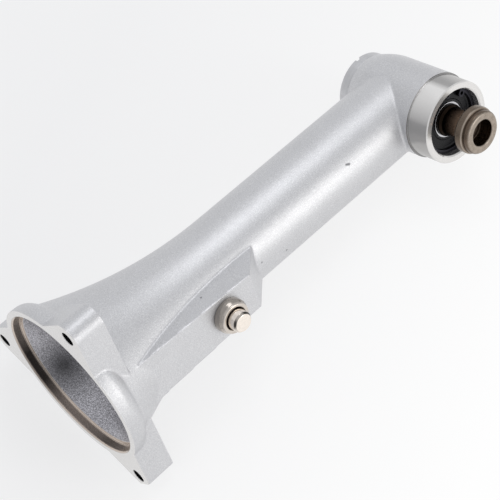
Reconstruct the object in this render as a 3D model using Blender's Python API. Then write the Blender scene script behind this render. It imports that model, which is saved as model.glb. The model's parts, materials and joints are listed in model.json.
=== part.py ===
"""Angle head of a long-necked grinder.

A cast housing carries a three-eared motor flange, a long neck and a cross head. A drive shaft runs up the
neck to a bevel pinion, which turns a bevel gear on the output spindle at right angles to it. A spring-loaded
button on the neck pushes a pin into a hub on the shaft and so locks the spindle.

The pieces are modelled round three axes: the neck axis, the output axis and the axis of the lock button.
The whole head then lies on a table as it does when it is put down: on one ear, the rim and the rear cap.
"""

import math

import bmesh
import bpy
from mathutils import Matrix, Vector

MM = 0.001
FULL_TURN = 2 * math.pi

# Clearances
SEAT_GAP = 0.05 * MM
RUN_GAP = 0.2 * MM
END_GAP = 0.1 * MM
GROOVE_GAP = 0.25 * MM

# Motor flange
MOUTH_RADIUS = 32.0 * MM
MOUTH_CHAMFER = 0.6 * MM
REGISTER_DEPTH = 4.2 * MM
LEDGE_WIDTH = 2.6 * MM
RIM_RADIUS = 35.0 * MM
RIM_DEPTH = 5.0 * MM
EAR_PITCH_RADIUS = 43.5 * MM
EAR_TIP_RADIUS = 6.0 * MM
EAR_DEPTH = 12.6 * MM
EAR_HOLE_RADIUS = 2.9 * MM
EAR_ANGLES = (-60, 60, 180)
CAST_WALL = 3.4 * MM

# Neck
NECK_RADIUS = 17.0 * MM
NECK_BORE_RADIUS = 13.0 * MM
FLARE_LENGTH = 77.0 * MM
HEAD_HEIGHT = 184.0 * MM
BEARING_WEB_HEIGHT = 26.0 * MM

# Cross head, along the output axis, with the neck axis at 0
HEAD_RADIUS = 18.1 * MM
HEAD_BACK = 17.3 * MM
HEAD_BACK_RADIUS = 15.5 * MM
HEAD_ROUND_LENGTH = 9.0 * MM
HEAD_STEP = 19.3 * MM
COLLAR_RADIUS = 17.0 * MM
COLLAR_FRONT = 29.9 * MM
COLLAR_CHAMFER = 0.4 * MM
CHAMBER_RADIUS = 13.4 * MM

# Bearings
LARGE_BEARING = {"bore": 6.0 * MM, "outside": 14.0 * MM, "width": 8.0 * MM, "ball": 2.38 * MM}
SMALL_BEARING = {"bore": 4.0 * MM, "outside": 11.0 * MM, "width": 7.0 * MM, "ball": 1.98 * MM}
BALL_COUNT = 7
SEAT_SHOULDER = 1.5 * MM
FRONT_BEARING_BACK = 17.4 * MM
REAR_BEARING_BACK = 14.5 * MM
SHAFT_BEARING_HEIGHT = 28.2 * MM
PINION_BEARING_SETBACK = 20.9 * MM

# Retaining rings
RING_THICKNESS = 1.2 * MM
RING_GROOVE_DEPTH = 0.7 * MM
RING_BAND = 1.9 * MM
RING_GAP_ANGLE = math.radians(26)
RING_LUG_RADIUS = 1.7 * MM
RING_LUG_HOLE = 0.75 * MM
SNAP_RING_STAND = 0.65 * MM

# Rear cap
CAP_RADIUS = 15.2 * MM
CAP_LENGTH = 4.6 * MM
CAP_CHAMFER = 0.5 * MM
CAP_SPIGOT_RADIUS = 12.3 * MM
CAP_HOLLOW_RADIUS = 9.3 * MM
CAP_WALL = 2.3 * MM
CAP_NOTCH_WIDTH = 2.4 * MM
CAP_NOTCH_DEPTH = 1.6 * MM
CAP_NOTCH_ANGLE = math.radians(90)
CAP_SEAL_THICKNESS = 0.8 * MM

# Bevel gears
GEAR_MODULE = 1.2 * MM
PINION_TEETH = 11
GEAR_TEETH = 21
PRESSURE_ANGLE = math.radians(20)
ADDENDUM_SHIFT = 0.35
FACE_WIDTH = 5.0 * MM
BACKLASH = 0.16 * MM
ROOT_CLEARANCE = 0.25
GEAR_BACK = 11.5 * MM
GEAR_HUB_RADIUS = 8.5 * MM
PINION_HUB_RADIUS = 5.4 * MM

# Drive shaft
SHAFT_RADIUS = 5.0 * MM
SHAFT_END_RADIUS = 4.5 * MM
SHAFT_START = 17.0 * MM
SHAFT_SHOULDER_RADIUS = 7.4 * MM
SHANK_LENGTH = 10.1 * MM
DOG_RADIUS = 9.5 * MM
DOG_START = 15.6 * MM
DOG_LENGTH = 10.0 * MM
DOG_SLOT_WIDTH = 5.0 * MM
DOG_SLOT_DEPTH = 4.0 * MM
SLEEVE_RADIUS = 7.4 * MM
SLEEVE_LENGTH = 20.0 * MM
CROSS_PIN_RADIUS = 1.2 * MM

# Output spindle
SPINDLE_RADIUS = 6.0 * MM
SPINDLE_MIDDLE_RADIUS = 5.6 * MM
SPINDLE_SHOULDER_RADIUS = 6.3 * MM
SPINDLE_NECK_RADIUS = 5.7 * MM
NOSE_BACK = 37.2 * MM
NOSE_FRONT = 43.9 * MM
NOSE_RADIUS = 9.8 * MM
NOSE_GROOVE = 41.0 * MM
NOSE_FACE_RADIUS = 7.7 * MM
SOCKET_RADIUS = 5.5 * MM
SOCKET_DEPTH = 6.4 * MM
THREAD_RADIUS = 3.4 * MM
THREAD_DEPTH = 20.0 * MM
KEY_WIDTH = 3.0 * MM
KEY_HEIGHT = 3.0 * MM
KEY_LENGTH = 7.0 * MM
KEY_START = 8.6 * MM

# Spindle lock
LOCK_HEIGHT = 58.6 * MM
LOCK_TRAVEL = 4.2 * MM
BOSS_FACE = 26.4 * MM
BOSS_START = 12.0 * MM
BOSS_END = 73.0 * MM
BOSS_HALF_WIDTH = 10.4 * MM
BOSS_END_HALF_WIDTH = 8.4 * MM
BOSS_POCKET_RADIUS = 6.05 * MM
BUSH_RADIUS = 7.0 * MM
BUSH_LIP_RADIUS = 6.2 * MM
BUSH_STAND = 4.6 * MM
BUSH_INSERT = 4.4 * MM
BUTTON_RADIUS = 4.2 * MM
BUTTON_CHAMFER = 0.5 * MM
BUTTON_FLANGE_RADIUS = 5.5 * MM
BUTTON_FLANGE_LENGTH = 1.3 * MM
BUTTON_WALL = 0.9 * MM
BUTTON_END = 2.2 * MM
LOCK_PIN_RADIUS = 2.0 * MM
LOCK_PIN_TIP = 10.6 * MM
GUIDE_WALL = 2.3 * MM
SPRING_WIRE_RADIUS = 0.28 * MM
SPRING_TURNS = 6
HUB_RADIUS = 9.6 * MM
HUB_LENGTH = 14.4 * MM
HUB_HOLE_RADIUS = 2.35 * MM

# Facets round a full turn
FLARE_FACETS = 48
HEAD_FACETS = 40
BORE_FACETS = 32
HIDDEN_FACETS = 20
SPINDLE_FACETS = 28
BUTTON_FACETS = 24
PIN_FACETS = 12

CAST_ALUMINIUM = ((0.62, 0.62, 0.65), 0.42, 0.85)
BRIGHT_STEEL = ((0.66, 0.66, 0.68), 0.25, 1.0)
DARK_STEEL = ((0.20, 0.17, 0.15), 0.38, 1.0)
GEAR_STEEL = ((0.42, 0.41, 0.40), 0.32, 1.0)
SPRING_STEEL = ((0.30, 0.30, 0.31), 0.35, 1.0)
NICKEL = ((0.66, 0.60, 0.52), 0.18, 1.0)
BLACK_RUBBER = ((0.02, 0.02, 0.022), 0.55, 0.0)
CAGE_STEEL = ((0.55, 0.53, 0.48), 0.35, 1.0)


def clear_scene():
    for found in list(bpy.data.objects):
        bpy.data.objects.remove(found, do_unlink=True)


def axis_empty(name, parent, matrix):
    """An empty on one of the axes, whose own Z runs along the axis."""
    empty = bpy.data.objects.new(name, None)
    bpy.context.scene.collection.objects.link(empty)
    empty.empty_display_size = SHAFT_RADIUS
    empty.parent = parent
    empty.matrix_local = matrix
    return empty


def finish(name, look):
    """The material of one piece, from its colour, roughness and metallic value."""
    colour, roughness, metallic = look
    made = bpy.data.materials.new(name)
    made.use_nodes = True
    shader = made.node_tree.nodes["Principled BSDF"]
    shader.inputs["Base Color"].default_value = (*colour, 1.0)
    shader.inputs["Roughness"].default_value = roughness
    shader.inputs["Metallic"].default_value = metallic
    made.diffuse_color = (*colour, 1.0)
    return made


def to_object(name, shape, axis, look):
    """Closes a bmesh into an object on the given axis."""
    bmesh.ops.remove_doubles(shape, verts=shape.verts, dist=0.001 * MM)
    bmesh.ops.recalc_face_normals(shape, faces=shape.faces)
    mesh = bpy.data.meshes.new(name)
    shape.to_mesh(mesh)
    shape.free()
    mesh.shade_smooth()
    mesh.set_sharp_from_angle(angle=math.radians(32))
    made = bpy.data.objects.new(name, mesh)
    bpy.context.scene.collection.objects.link(made)
    made.parent = axis
    made.data.materials.append(finish(name, look))
    return made


def spin_profile(shape, profile, facets):
    """Turns a profile of (radius, height) points round Z. One that starts off the axis is closed into a ring."""
    points = [shape.verts.new((radius, 0, height)) for radius, height in profile]
    edges = [shape.edges.new(pair) for pair in zip(points, points[1:])]
    if profile[0][0] > 0:
        edges.append(shape.edges.new((points[-1], points[0])))
    bmesh.ops.spin(
        shape,
        geom=points + edges,
        cent=(0, 0, 0),
        axis=(0, 0, 1),
        angle=FULL_TURN,
        steps=facets,
        use_merge=True,
    )


def turned(name, profile, axis, look, facets=HIDDEN_FACETS):
    shape = bmesh.new()
    spin_profile(shape, profile, facets)
    return to_object(name, shape, axis, look)


def prism(name, outline, low, high, axis, look):
    """An outline of (x, y) points extruded along Z from low to high."""
    shape = bmesh.new()
    face = shape.faces.new([shape.verts.new((x, y, low)) for x, y in outline])
    raised = bmesh.ops.extrude_face_region(shape, geom=[face])["geom"]
    corners = [item for item in raised if isinstance(item, bmesh.types.BMVert)]
    bmesh.ops.translate(shape, vec=(0, 0, high - low), verts=corners)
    return to_object(name, shape, axis, look)


def pegs(name, radius, length, places, axis, look, facets=PIN_FACETS):
    """Round pegs along Z, or turned to lie along X or Y, one for each (centre, direction)."""
    shape = bmesh.new()
    for centre, direction in places:
        turn = Vector(direction).to_track_quat("Z", "Y").to_matrix().to_4x4()
        bmesh.ops.create_cone(
            shape,
            cap_ends=True,
            segments=facets,
            radius1=radius,
            radius2=radius,
            depth=length,
            matrix=Matrix.Translation(centre) @ turn,
        )
    return to_object(name, shape, axis, look)


def block(name, size, centre, axis, look, turn=0.0):
    """A box of the given size, turned about the axis it sits on."""
    shape = bmesh.new()
    place = Matrix.Rotation(turn, 4, "Z") @ Matrix.Translation(centre) @ Matrix.Diagonal((*size, 1))
    bmesh.ops.create_cube(shape, size=1, matrix=place)
    return to_object(name, shape, axis, look)


def helper(made):
    made.hide_render = True
    made.display_type = "WIRE"
    return made


def combine(target, other, operation):
    step = target.modifiers.new(f"{operation.title()} {other.name}", "BOOLEAN")
    step.operation = operation
    step.solver = "EXACT"
    step.object = helper(other)


def combine_all(target, others, operation):
    """One Boolean step with several shapes at once."""
    group = bpy.data.collections.new(f"{target.name}_{operation.lower()}")
    for other in others:
        group.objects.link(helper(other))
    step = target.modifiers.new(f"{operation.title()} {group.name}", "BOOLEAN")
    step.operation = operation
    step.solver = "EXACT"
    step.operand_type = "COLLECTION"
    step.collection = group


def cut(target, cutter):
    combine(target, cutter, "DIFFERENCE")


def fuse(target, other):
    combine(target, other, "UNION")


def arc(centre, radius, start, end, steps):
    """Points on an arc, with the angles in radians."""
    angles = [start + (end - start) * step / steps for step in range(steps + 1)]
    return [(centre[0] + radius * math.cos(a), centre[1] + radius * math.sin(a)) for a in angles]


def flare_radius(height):
    """The neck's outer radius: it widens along a parabola from the neck to the rim."""
    along = max(0.0, 1 - height / FLARE_LENGTH)
    return NECK_RADIUS + (RIM_RADIUS - NECK_RADIUS) * along * along


def flange_outline():
    """The three-eared flange: a triangle with its corners rounded about the screw holes."""
    points = []
    for degrees in EAR_ANGLES:
        middle = math.radians(degrees)
        centre = (EAR_PITCH_RADIUS * math.cos(middle), EAR_PITCH_RADIUS * math.sin(middle))
        points += arc(centre, EAR_TIP_RADIUS, middle - math.pi / 3, middle + math.pi / 3, 6)
    return points


def ear_places():
    turns = [math.radians(degrees) for degrees in EAR_ANGLES]
    return [(EAR_PITCH_RADIUS * math.cos(turn), EAR_PITCH_RADIUS * math.sin(turn)) for turn in turns]


def neck_outside():
    shoulder = RIM_DEPTH + 1.6 * MM
    heights = [shoulder + (FLARE_LENGTH - shoulder) * (step / 8) ** 1.2 for step in range(9)]
    profile = [(0, 0), (RIM_RADIUS, 0), (RIM_RADIUS, RIM_DEPTH)]
    profile += [(flare_radius(height), height) for height in heights]
    return profile + [(NECK_RADIUS, HEAD_HEIGHT), (0, HEAD_HEIGHT)]


def head_outside():
    """The cross head along the output axis: a rounded back, the body and the machined front collar."""
    rounding = [
        (
            HEAD_BACK_RADIUS + (HEAD_RADIUS - HEAD_BACK_RADIUS) * math.sin(math.pi / 2 * step / 5),
            -HEAD_BACK + HEAD_ROUND_LENGTH * step / 5,
        )
        for step in range(6)
    ]
    step_up = HEAD_RADIUS - COLLAR_RADIUS
    return (
        [(0, -HEAD_BACK)]
        + rounding
        + [
            (HEAD_RADIUS, HEAD_STEP - step_up / 2),
            (COLLAR_RADIUS + step_up / 4, HEAD_STEP),
            (COLLAR_RADIUS, HEAD_STEP),
            (COLLAR_RADIUS, COLLAR_FRONT - COLLAR_CHAMFER),
            (COLLAR_RADIUS - COLLAR_CHAMFER, COLLAR_FRONT),
            (0, COLLAR_FRONT),
        ]
    )


def mouth_inside():
    """The hollow of the bell: chamfer, register, ledge, then a cast taper down to the bearing web."""
    ledge = MOUTH_RADIUS - LEDGE_WIDTH
    heights = [REGISTER_DEPTH + (BEARING_WEB_HEIGHT - REGISTER_DEPTH) * step / 4 for step in range(1, 5)]
    taper = [(min(ledge, flare_radius(height) - CAST_WALL), height) for height in heights]
    return (
        [(0, -MM), (MOUTH_RADIUS + MOUTH_CHAMFER, -MM), (MOUTH_RADIUS + MOUTH_CHAMFER, 0)]
        + [(MOUTH_RADIUS, MOUTH_CHAMFER), (MOUTH_RADIUS, REGISTER_DEPTH), (ledge, REGISTER_DEPTH)]
        + taper
        + [(0, BEARING_WEB_HEIGHT)]
    )


def ring_groove(seat, start, end):
    """Profile points of a groove for a retaining ring in the wall of a bore."""
    deep = seat + RING_GROOVE_DEPTH
    return [(seat, start), (deep, start), (deep, end), (seat, end)]


def pinion_bearing_start():
    return HEAD_HEIGHT - PINION_BEARING_SETBACK - SMALL_BEARING["width"]


def shaft_end():
    """The drive shaft meets the pinion's shank inside the sleeve, this far below the pinion bearing."""
    return pinion_bearing_start() - SHANK_LENGTH


def shaft_ring_start():
    return SHAFT_BEARING_HEIGHT - END_GAP - RING_THICKNESS


def pinion_ring_start():
    return pinion_bearing_start() - END_GAP - RING_THICKNESS


def front_ring_start():
    return FRONT_BEARING_BACK + LARGE_BEARING["width"] + END_GAP


def neck_inside():
    """The neck's bore: lower bearing seat, shoulder, long bore, pinion bearing seat and pinion opening."""
    lower = LARGE_BEARING["outside"] + SEAT_GAP
    upper = SMALL_BEARING["outside"] + SEAT_GAP
    lower_end = SHAFT_BEARING_HEIGHT + LARGE_BEARING["width"] + END_GAP
    upper_end = pinion_bearing_start() + SMALL_BEARING["width"] + END_GAP
    upper_start = pinion_ring_start() - 4 * MM
    return (
        [(0, BEARING_WEB_HEIGHT - MM), (lower, BEARING_WEB_HEIGHT - MM)]
        + ring_groove(lower, shaft_ring_start() - END_GAP, SHAFT_BEARING_HEIGHT)
        + [(lower, lower_end), (NECK_BORE_RADIUS, lower_end), (NECK_BORE_RADIUS, upper_start)]
        + [(upper, upper_start + 1.5 * MM)]
        + ring_groove(upper, pinion_ring_start() - END_GAP, pinion_bearing_start())
        + [(upper, upper_end), (upper - SEAT_SHOULDER, upper_end)]
        + [(upper - SEAT_SHOULDER, HEAD_HEIGHT), (0, HEAD_HEIGHT)]
    )


def head_inside():
    """The head's bore, from the cap thread at the back to the retaining ring at the front."""
    rear = SMALL_BEARING["outside"] + SEAT_GAP
    front = LARGE_BEARING["outside"] + SEAT_GAP
    cap_bore = CAP_SPIGOT_RADIUS + SEAT_GAP
    seal_bore = cap_bore + CAP_SEAL_THICKNESS + 2 * SEAT_GAP
    rear_start = -REAR_BEARING_BACK - END_GAP
    rear_end = -REAR_BEARING_BACK + SMALL_BEARING["width"] + END_GAP
    groove = ring_groove(front, front_ring_start() - END_GAP, front_ring_start() + RING_THICKNESS + END_GAP)
    seal_floor = -HEAD_BACK + CAP_SEAL_THICKNESS + END_GAP
    return (
        [(0, -HEAD_BACK - MM), (seal_bore, -HEAD_BACK - MM), (seal_bore, seal_floor)]
        + [(cap_bore, seal_floor), (cap_bore, rear_start), (rear, rear_start), (rear, rear_end)]
        + [(rear - SEAT_SHOULDER, rear_end), (rear - SEAT_SHOULDER, rear_end + 2 * MM)]
        + [(CHAMBER_RADIUS, rear_end + 2 * MM), (CHAMBER_RADIUS, FRONT_BEARING_BACK - END_GAP)]
        + [(front, FRONT_BEARING_BACK - END_GAP)]
        + groove
        + [(front, COLLAR_FRONT - COLLAR_CHAMFER), (front + COLLAR_CHAMFER, COLLAR_FRONT)]
        + [(front + COLLAR_CHAMFER, COLLAR_FRONT + MM), (0, COLLAR_FRONT + MM)]
    )


def boss_body(axis):
    """The raised flat for the lock button, with a sloping end and sides that draw in towards the head."""
    root = NECK_BORE_RADIUS / 2
    side = [
        (root, BOSS_START),
        (BOSS_FACE, BOSS_START),
        (BOSS_FACE, BOSS_END),
        (root, BOSS_END + BOSS_FACE - root),
    ]
    shape = bmesh.new()
    face = shape.faces.new([shape.verts.new((x, -1, z)) for x, z in side])
    raised = bmesh.ops.extrude_face_region(shape, geom=[face])["geom"]
    corners = [item for item in raised if isinstance(item, bmesh.types.BMVert)]
    bmesh.ops.translate(shape, vec=(0, 2, 0), verts=corners)
    slope = (BOSS_END_HALF_WIDTH - BOSS_HALF_WIDTH) / (BOSS_END - BOSS_START)
    for corner in shape.verts:
        corner.co.y *= BOSS_HALF_WIDTH + slope * (corner.co.z - BOSS_START)
    return to_object("boss_form", shape, axis, CAST_ALUMINIUM)


def guide_start():
    """Where the boss pocket ends and the pin's guide hole begins, along the lock axis."""
    return NECK_BORE_RADIUS + GUIDE_WALL


def housing_forms(neck, output):
    head = turned("head_form", head_outside(), output, CAST_ALUMINIUM, HEAD_FACETS)
    flange = prism("flange_form", flange_outline(), 0, EAR_DEPTH, neck, CAST_ALUMINIUM)
    return [head, flange, boss_body(neck)]


def housing_hollows(neck, output, lock):
    mouth = turned("mouth_hollow", mouth_inside(), neck, CAST_ALUMINIUM, FLARE_FACETS)
    bore = turned("neck_hollow", neck_inside(), neck, CAST_ALUMINIUM)
    head = turned("head_hollow", head_inside(), output, CAST_ALUMINIUM, BORE_FACETS)
    pocket = [(0, guide_start()), (BOSS_POCKET_RADIUS, guide_start()), (BOSS_POCKET_RADIUS, BOSS_FACE + MM)]
    pocket = turned("boss_pocket", pocket + [(0, BOSS_FACE + MM)], lock, CAST_ALUMINIUM, BUTTON_FACETS)
    guide = LOCK_PIN_RADIUS + RUN_GAP
    guide_end = guide_start() + MM
    hole = [(0, SHAFT_RADIUS), (guide, SHAFT_RADIUS), (guide, guide_end), (0, guide_end)]
    hole = turned("pin_guide", hole, lock, CAST_ALUMINIUM, PIN_FACETS)
    places = [((x, y, EAR_DEPTH / 2), (0, 0, 1)) for x, y in ear_places()]
    ears = pegs("ear_holes", EAR_HOLE_RADIUS, EAR_DEPTH + 2 * MM, places, neck, CAST_ALUMINIUM, 16)
    return [mouth, bore, head, pocket, hole, ears]


def make_housing(neck, output, lock):
    housing = turned("gear_housing", neck_outside(), neck, CAST_ALUMINIUM, FLARE_FACETS)
    combine_all(housing, housing_forms(neck, output), "UNION")
    combine_all(housing, housing_hollows(neck, output, lock), "DIFFERENCE")
    return housing


def pitch_radius(bearing):
    return (bearing["bore"] + bearing["outside"]) / 2


def make_bearing(name, bearing, start, axis, facets, seals=()):
    """A ball bearing whose back lies at start: two grooved rings, the caged balls and the seals asked for."""
    middle = start + bearing["width"] / 2
    end = start + bearing["width"]
    pitch = pitch_radius(bearing)
    ball = bearing["ball"]
    inner_top = pitch - 0.84 * ball
    outer_top = pitch + 0.84 * ball
    recess = outer_top + 0.35 * ball
    seal_width = 0.11 * bearing["width"]
    groove_half = 0.62 * ball
    bore = bearing["bore"] + SEAT_GAP
    inner = [
        (bore, start),
        (inner_top, start),
        (inner_top, middle - groove_half),
        (pitch - ball, middle),
        (inner_top, middle + groove_half),
        (inner_top, end),
        (bore, end),
    ]
    front_lip = [(recess, end), (recess, end - seal_width - END_GAP), (outer_top, end - seal_width - END_GAP)]
    back_lip = [(outer_top, start + seal_width + END_GAP), (recess, start + seal_width + END_GAP), (recess, start)]
    outer = (
        [(bearing["outside"], start), (bearing["outside"], end)]
        + (front_lip if "front" in seals else [(outer_top, end)])
        + [(outer_top, middle + groove_half), (pitch + ball, middle), (outer_top, middle - groove_half)]
        + (back_lip if "back" in seals else [(outer_top, start)])
    )
    turned(f"{name}_inner_ring", inner, axis, BRIGHT_STEEL, facets)
    turned(f"{name}_outer_ring", outer, axis, BRIGHT_STEEL, facets)
    band = ball * 0.26
    half = ball * 0.55
    ring = [(pitch - band, middle - half), (pitch + band, middle - half)]
    ring += [(pitch + band, middle + half), (pitch - band, middle + half)]
    cage = turned(f"{name}_cage", ring, axis, CAGE_STEEL, 2 * BALL_COUNT)
    balls = bmesh.new()
    for turn in range(BALL_COUNT):
        place = Matrix.Rotation(FULL_TURN * turn / BALL_COUNT, 4, "Z") @ Matrix.Translation((pitch, 0, middle))
        bmesh.ops.create_uvsphere(balls, u_segments=7, v_segments=5, radius=ball - RUN_GAP, matrix=place)
    fuse(cage, to_object(f"{name}_balls", balls, axis, BRIGHT_STEEL))
    for side in seals:
        low = start if side == "back" else end - seal_width
        seal = [(inner_top + RUN_GAP, low), (recess - SEAT_GAP, low)]
        seal += [(recess - SEAT_GAP, low + seal_width), (inner_top + RUN_GAP, low + seal_width)]
        turned(f"{name}_{side}_seal", seal, axis, BLACK_RUBBER, facets)


def snap_ring(name, seat, start, axis):
    """A plain open ring in a groove round a shaft, where there is no room for lugs."""
    groove = seat - RING_GROOVE_DEPTH + GROOVE_GAP
    half_gap = RING_GAP_ANGLE / 2
    outline = arc((0, 0), groove, half_gap, FULL_TURN - half_gap, 16)
    outline += arc((0, 0), seat + SNAP_RING_STAND, FULL_TURN - half_gap, half_gap, 16)
    return prism(name, outline, start, start + RING_THICKNESS, axis, SPRING_STEEL)


def retaining_ring(name, seat, start, axis, inside, turn=0.0):
    """A flat spring ring in a groove: inside a bore its lugs point to the axis, on a shaft they point away."""
    fit = RING_GROOVE_DEPTH - GROOVE_GAP
    groove = seat + fit if inside else seat - fit
    free = groove - RING_BAND if inside else groove + RING_BAND
    lug = free - RING_LUG_RADIUS * 0.5 if inside else free + RING_LUG_RADIUS * 0.5
    half_gap = RING_GAP_ANGLE / 2
    first = turn + half_gap
    last = turn + FULL_TURN - half_gap
    outline = arc((0, 0), groove, first, last, 18)
    lug_turn = math.asin(RING_LUG_RADIUS / lug)
    for middle in (last - lug_turn, first + lug_turn):
        centre = (lug * math.cos(middle), lug * math.sin(middle))
        outward = middle if not inside else middle + math.pi
        spread = math.pi / 2 if inside else -math.pi / 2
        outline += arc(centre, RING_LUG_RADIUS, outward - spread, outward + spread, 4)
        if middle > math.pi + turn:
            outline += arc((0, 0), free, last - 2.6 * lug_turn, first + 2.6 * lug_turn, 16)
    ring = prism(name, outline, start, start + RING_THICKNESS, axis, SPRING_STEEL)
    places = [
        ((lug * math.cos(middle), lug * math.sin(middle), start + RING_THICKNESS / 2), (0, 0, 1))
        for middle in (first + lug_turn, last - lug_turn)
    ]
    cut(ring, pegs(f"{name}_holes", RING_LUG_HOLE, 3 * RING_THICKNESS, places, axis, SPRING_STEEL, 6))
    return ring


def cone_angle(teeth, mate):
    return math.atan(teeth / mate)


def cone_distance():
    return GEAR_MODULE / 2 * math.hypot(PINION_TEETH, GEAR_TEETH)


def involute(angle):
    return math.tan(angle) - angle


def tooth_half_angle(reach, pitch, base, shift):
    """Half the angle that a tooth fills at a radius of the flat gear that stands for the back cone."""
    half_width = GEAR_MODULE * (math.pi / 4 + shift * math.tan(PRESSURE_ANGLE)) - BACKLASH / 4
    pressure = math.acos(min(1.0, base / reach))
    return half_width / pitch + involute(PRESSURE_ANGLE) - involute(pressure)


def back_cone_point(reach, angle, slope, scale=1.0):
    """A point of the tooth ends: radius from the axis, angle round it and distance from the apex."""
    distance = cone_distance()
    radius = reach * math.cos(slope) * scale
    height = (distance / math.cos(slope) - reach * math.sin(slope)) * scale
    turn = angle / math.cos(slope)
    return (radius * math.cos(turn), radius * math.sin(turn), height)


def bevel_sizes(teeth, mate, shift):
    """Slope of the pitch cone, then pitch, base, tip and root radius on the unrolled back cone."""
    slope = cone_angle(teeth, mate)
    pitch = GEAR_MODULE * teeth / 2 / math.cos(slope)
    tip = pitch + GEAR_MODULE * (1 + shift)
    root = pitch - GEAR_MODULE * (1 + ROOT_CLEARANCE - shift)
    return slope, pitch, pitch * math.cos(PRESSURE_ANGLE), tip, root


def bevel_teeth(name, teeth, mate, shift, phase, axis):
    """Straight bevel teeth, each lofted from its large end towards the common apex of the two pitch cones."""
    slope, pitch, base, tip, root = bevel_sizes(teeth, mate, shift)
    small_end = 1 - FACE_WIDTH / cone_distance()
    start = max(root, base)
    reaches = [root - 0.4 * MM] + [start + (tip - start) * part for part in (0, 0.55, 1)]
    halves = [tooth_half_angle(max(reach, base), pitch, base, shift) for reach in reaches]
    flank = list(zip(reaches, halves))
    outline = [(reach, -half) for reach, half in flank] + [(reach, half) for reach, half in reversed(flank)]
    shape = bmesh.new()
    for tooth in range(teeth):
        turn = Matrix.Rotation(phase + FULL_TURN * tooth / teeth, 3, "Z")
        ends = []
        for scale in (1.0, small_end):
            points = [turn @ Vector(back_cone_point(reach, angle, slope, scale)) for reach, angle in outline]
            ends.append([shape.verts.new(point) for point in points])
        large, small = ends
        shape.faces.new(large)
        shape.faces.new(reversed(small))
        for near, far, far_small, near_small in zip(large, large[1:] + large[:1], small[1:] + small[:1], small):
            shape.faces.new((far, near, near_small, far_small))
    return to_object(name, shape, axis, GEAR_STEEL)


def bevel_blank(teeth, mate, shift):
    """Large and small end of the root cone, as (radius, distance from the apex)."""
    slope, _, _, _, root = bevel_sizes(teeth, mate, shift)
    small_end = 1 - FACE_WIDTH / cone_distance()
    ends = []
    for scale in (1.0, small_end):
        x, _, height = back_cone_point(root, 0, slope, scale)
        ends.append((x, height))
    return ends


def make_pinion(apex, drive):
    """The pinion with its shank. The apex empty looks down the neck, so distances grow towards the flange."""
    large, small = bevel_blank(PINION_TEETH, GEAR_TEETH, ADDENDUM_SHIFT)
    bearing_end = HEAD_HEIGHT - pinion_bearing_start() - SMALL_BEARING["width"] - END_GAP
    shank = SMALL_BEARING["bore"]
    profile = [
        (0, small[1]),
        small,
        large,
        (PINION_HUB_RADIUS, large[1] + 0.6 * MM),
        (PINION_HUB_RADIUS, bearing_end),
        (shank, bearing_end),
        (shank, HEAD_HEIGHT - shaft_end() - END_GAP * 3),
        (0, HEAD_HEIGHT - shaft_end() - END_GAP * 3),
    ]
    pinion = turned("bevel_pinion", profile, apex, GEAR_STEEL, 22)
    fuse(pinion, bevel_teeth("pinion_teeth", PINION_TEETH, GEAR_TEETH, ADDENDUM_SHIFT, 0.0, apex))
    drill_for_pin(pinion, "pinion_drill", cross_pin_heights()["upper_sleeve_pin"], drive)
    return pinion


def make_gear(output):
    large, small = bevel_blank(GEAR_TEETH, PINION_TEETH, -ADDENDUM_SHIFT)
    bore = (SPINDLE_RADIUS + SEAT_GAP) / math.cos(math.pi / GEAR_TEETH)
    hub_end = FRONT_BEARING_BACK - END_GAP
    profile = [
        (bore, small[1]),
        small,
        large,
        (large[0], GEAR_BACK - MM),
        (large[0] - MM, GEAR_BACK),
        (GEAR_HUB_RADIUS, GEAR_BACK),
        (GEAR_HUB_RADIUS, hub_end),
        (bore, hub_end),
    ]
    gear = turned("bevel_gear", profile, output, GEAR_STEEL, GEAR_TEETH)
    # The pinion meets the gear on the neck side, where a tooth of the pinion needs a gap in the gear.
    half_pitch = FULL_TURN / GEAR_TEETH / 2
    fuse(gear, bevel_teeth("gear_teeth", GEAR_TEETH, PINION_TEETH, -ADDENDUM_SHIFT, half_pitch, output))
    slot_height = SPINDLE_RADIUS + KEY_HEIGHT / 2 + SEAT_GAP
    size = (slot_height, KEY_WIDTH + 2 * SEAT_GAP, 2 * hub_end)
    cut(gear, block("gear_keyway", size, (-slot_height / 2, 0, hub_end), output, GEAR_STEEL))
    return gear


def make_gear_key(output):
    middle = (-SPINDLE_RADIUS, 0, KEY_START + KEY_LENGTH / 2)
    block("gear_key", (KEY_HEIGHT, KEY_WIDTH, KEY_LENGTH), middle, output, GEAR_STEEL)


def gear_ring_start():
    small = bevel_blank(GEAR_TEETH, PINION_TEETH, -ADDENDUM_SHIFT)[1]
    return small[1] - END_GAP - RING_THICKNESS


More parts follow.
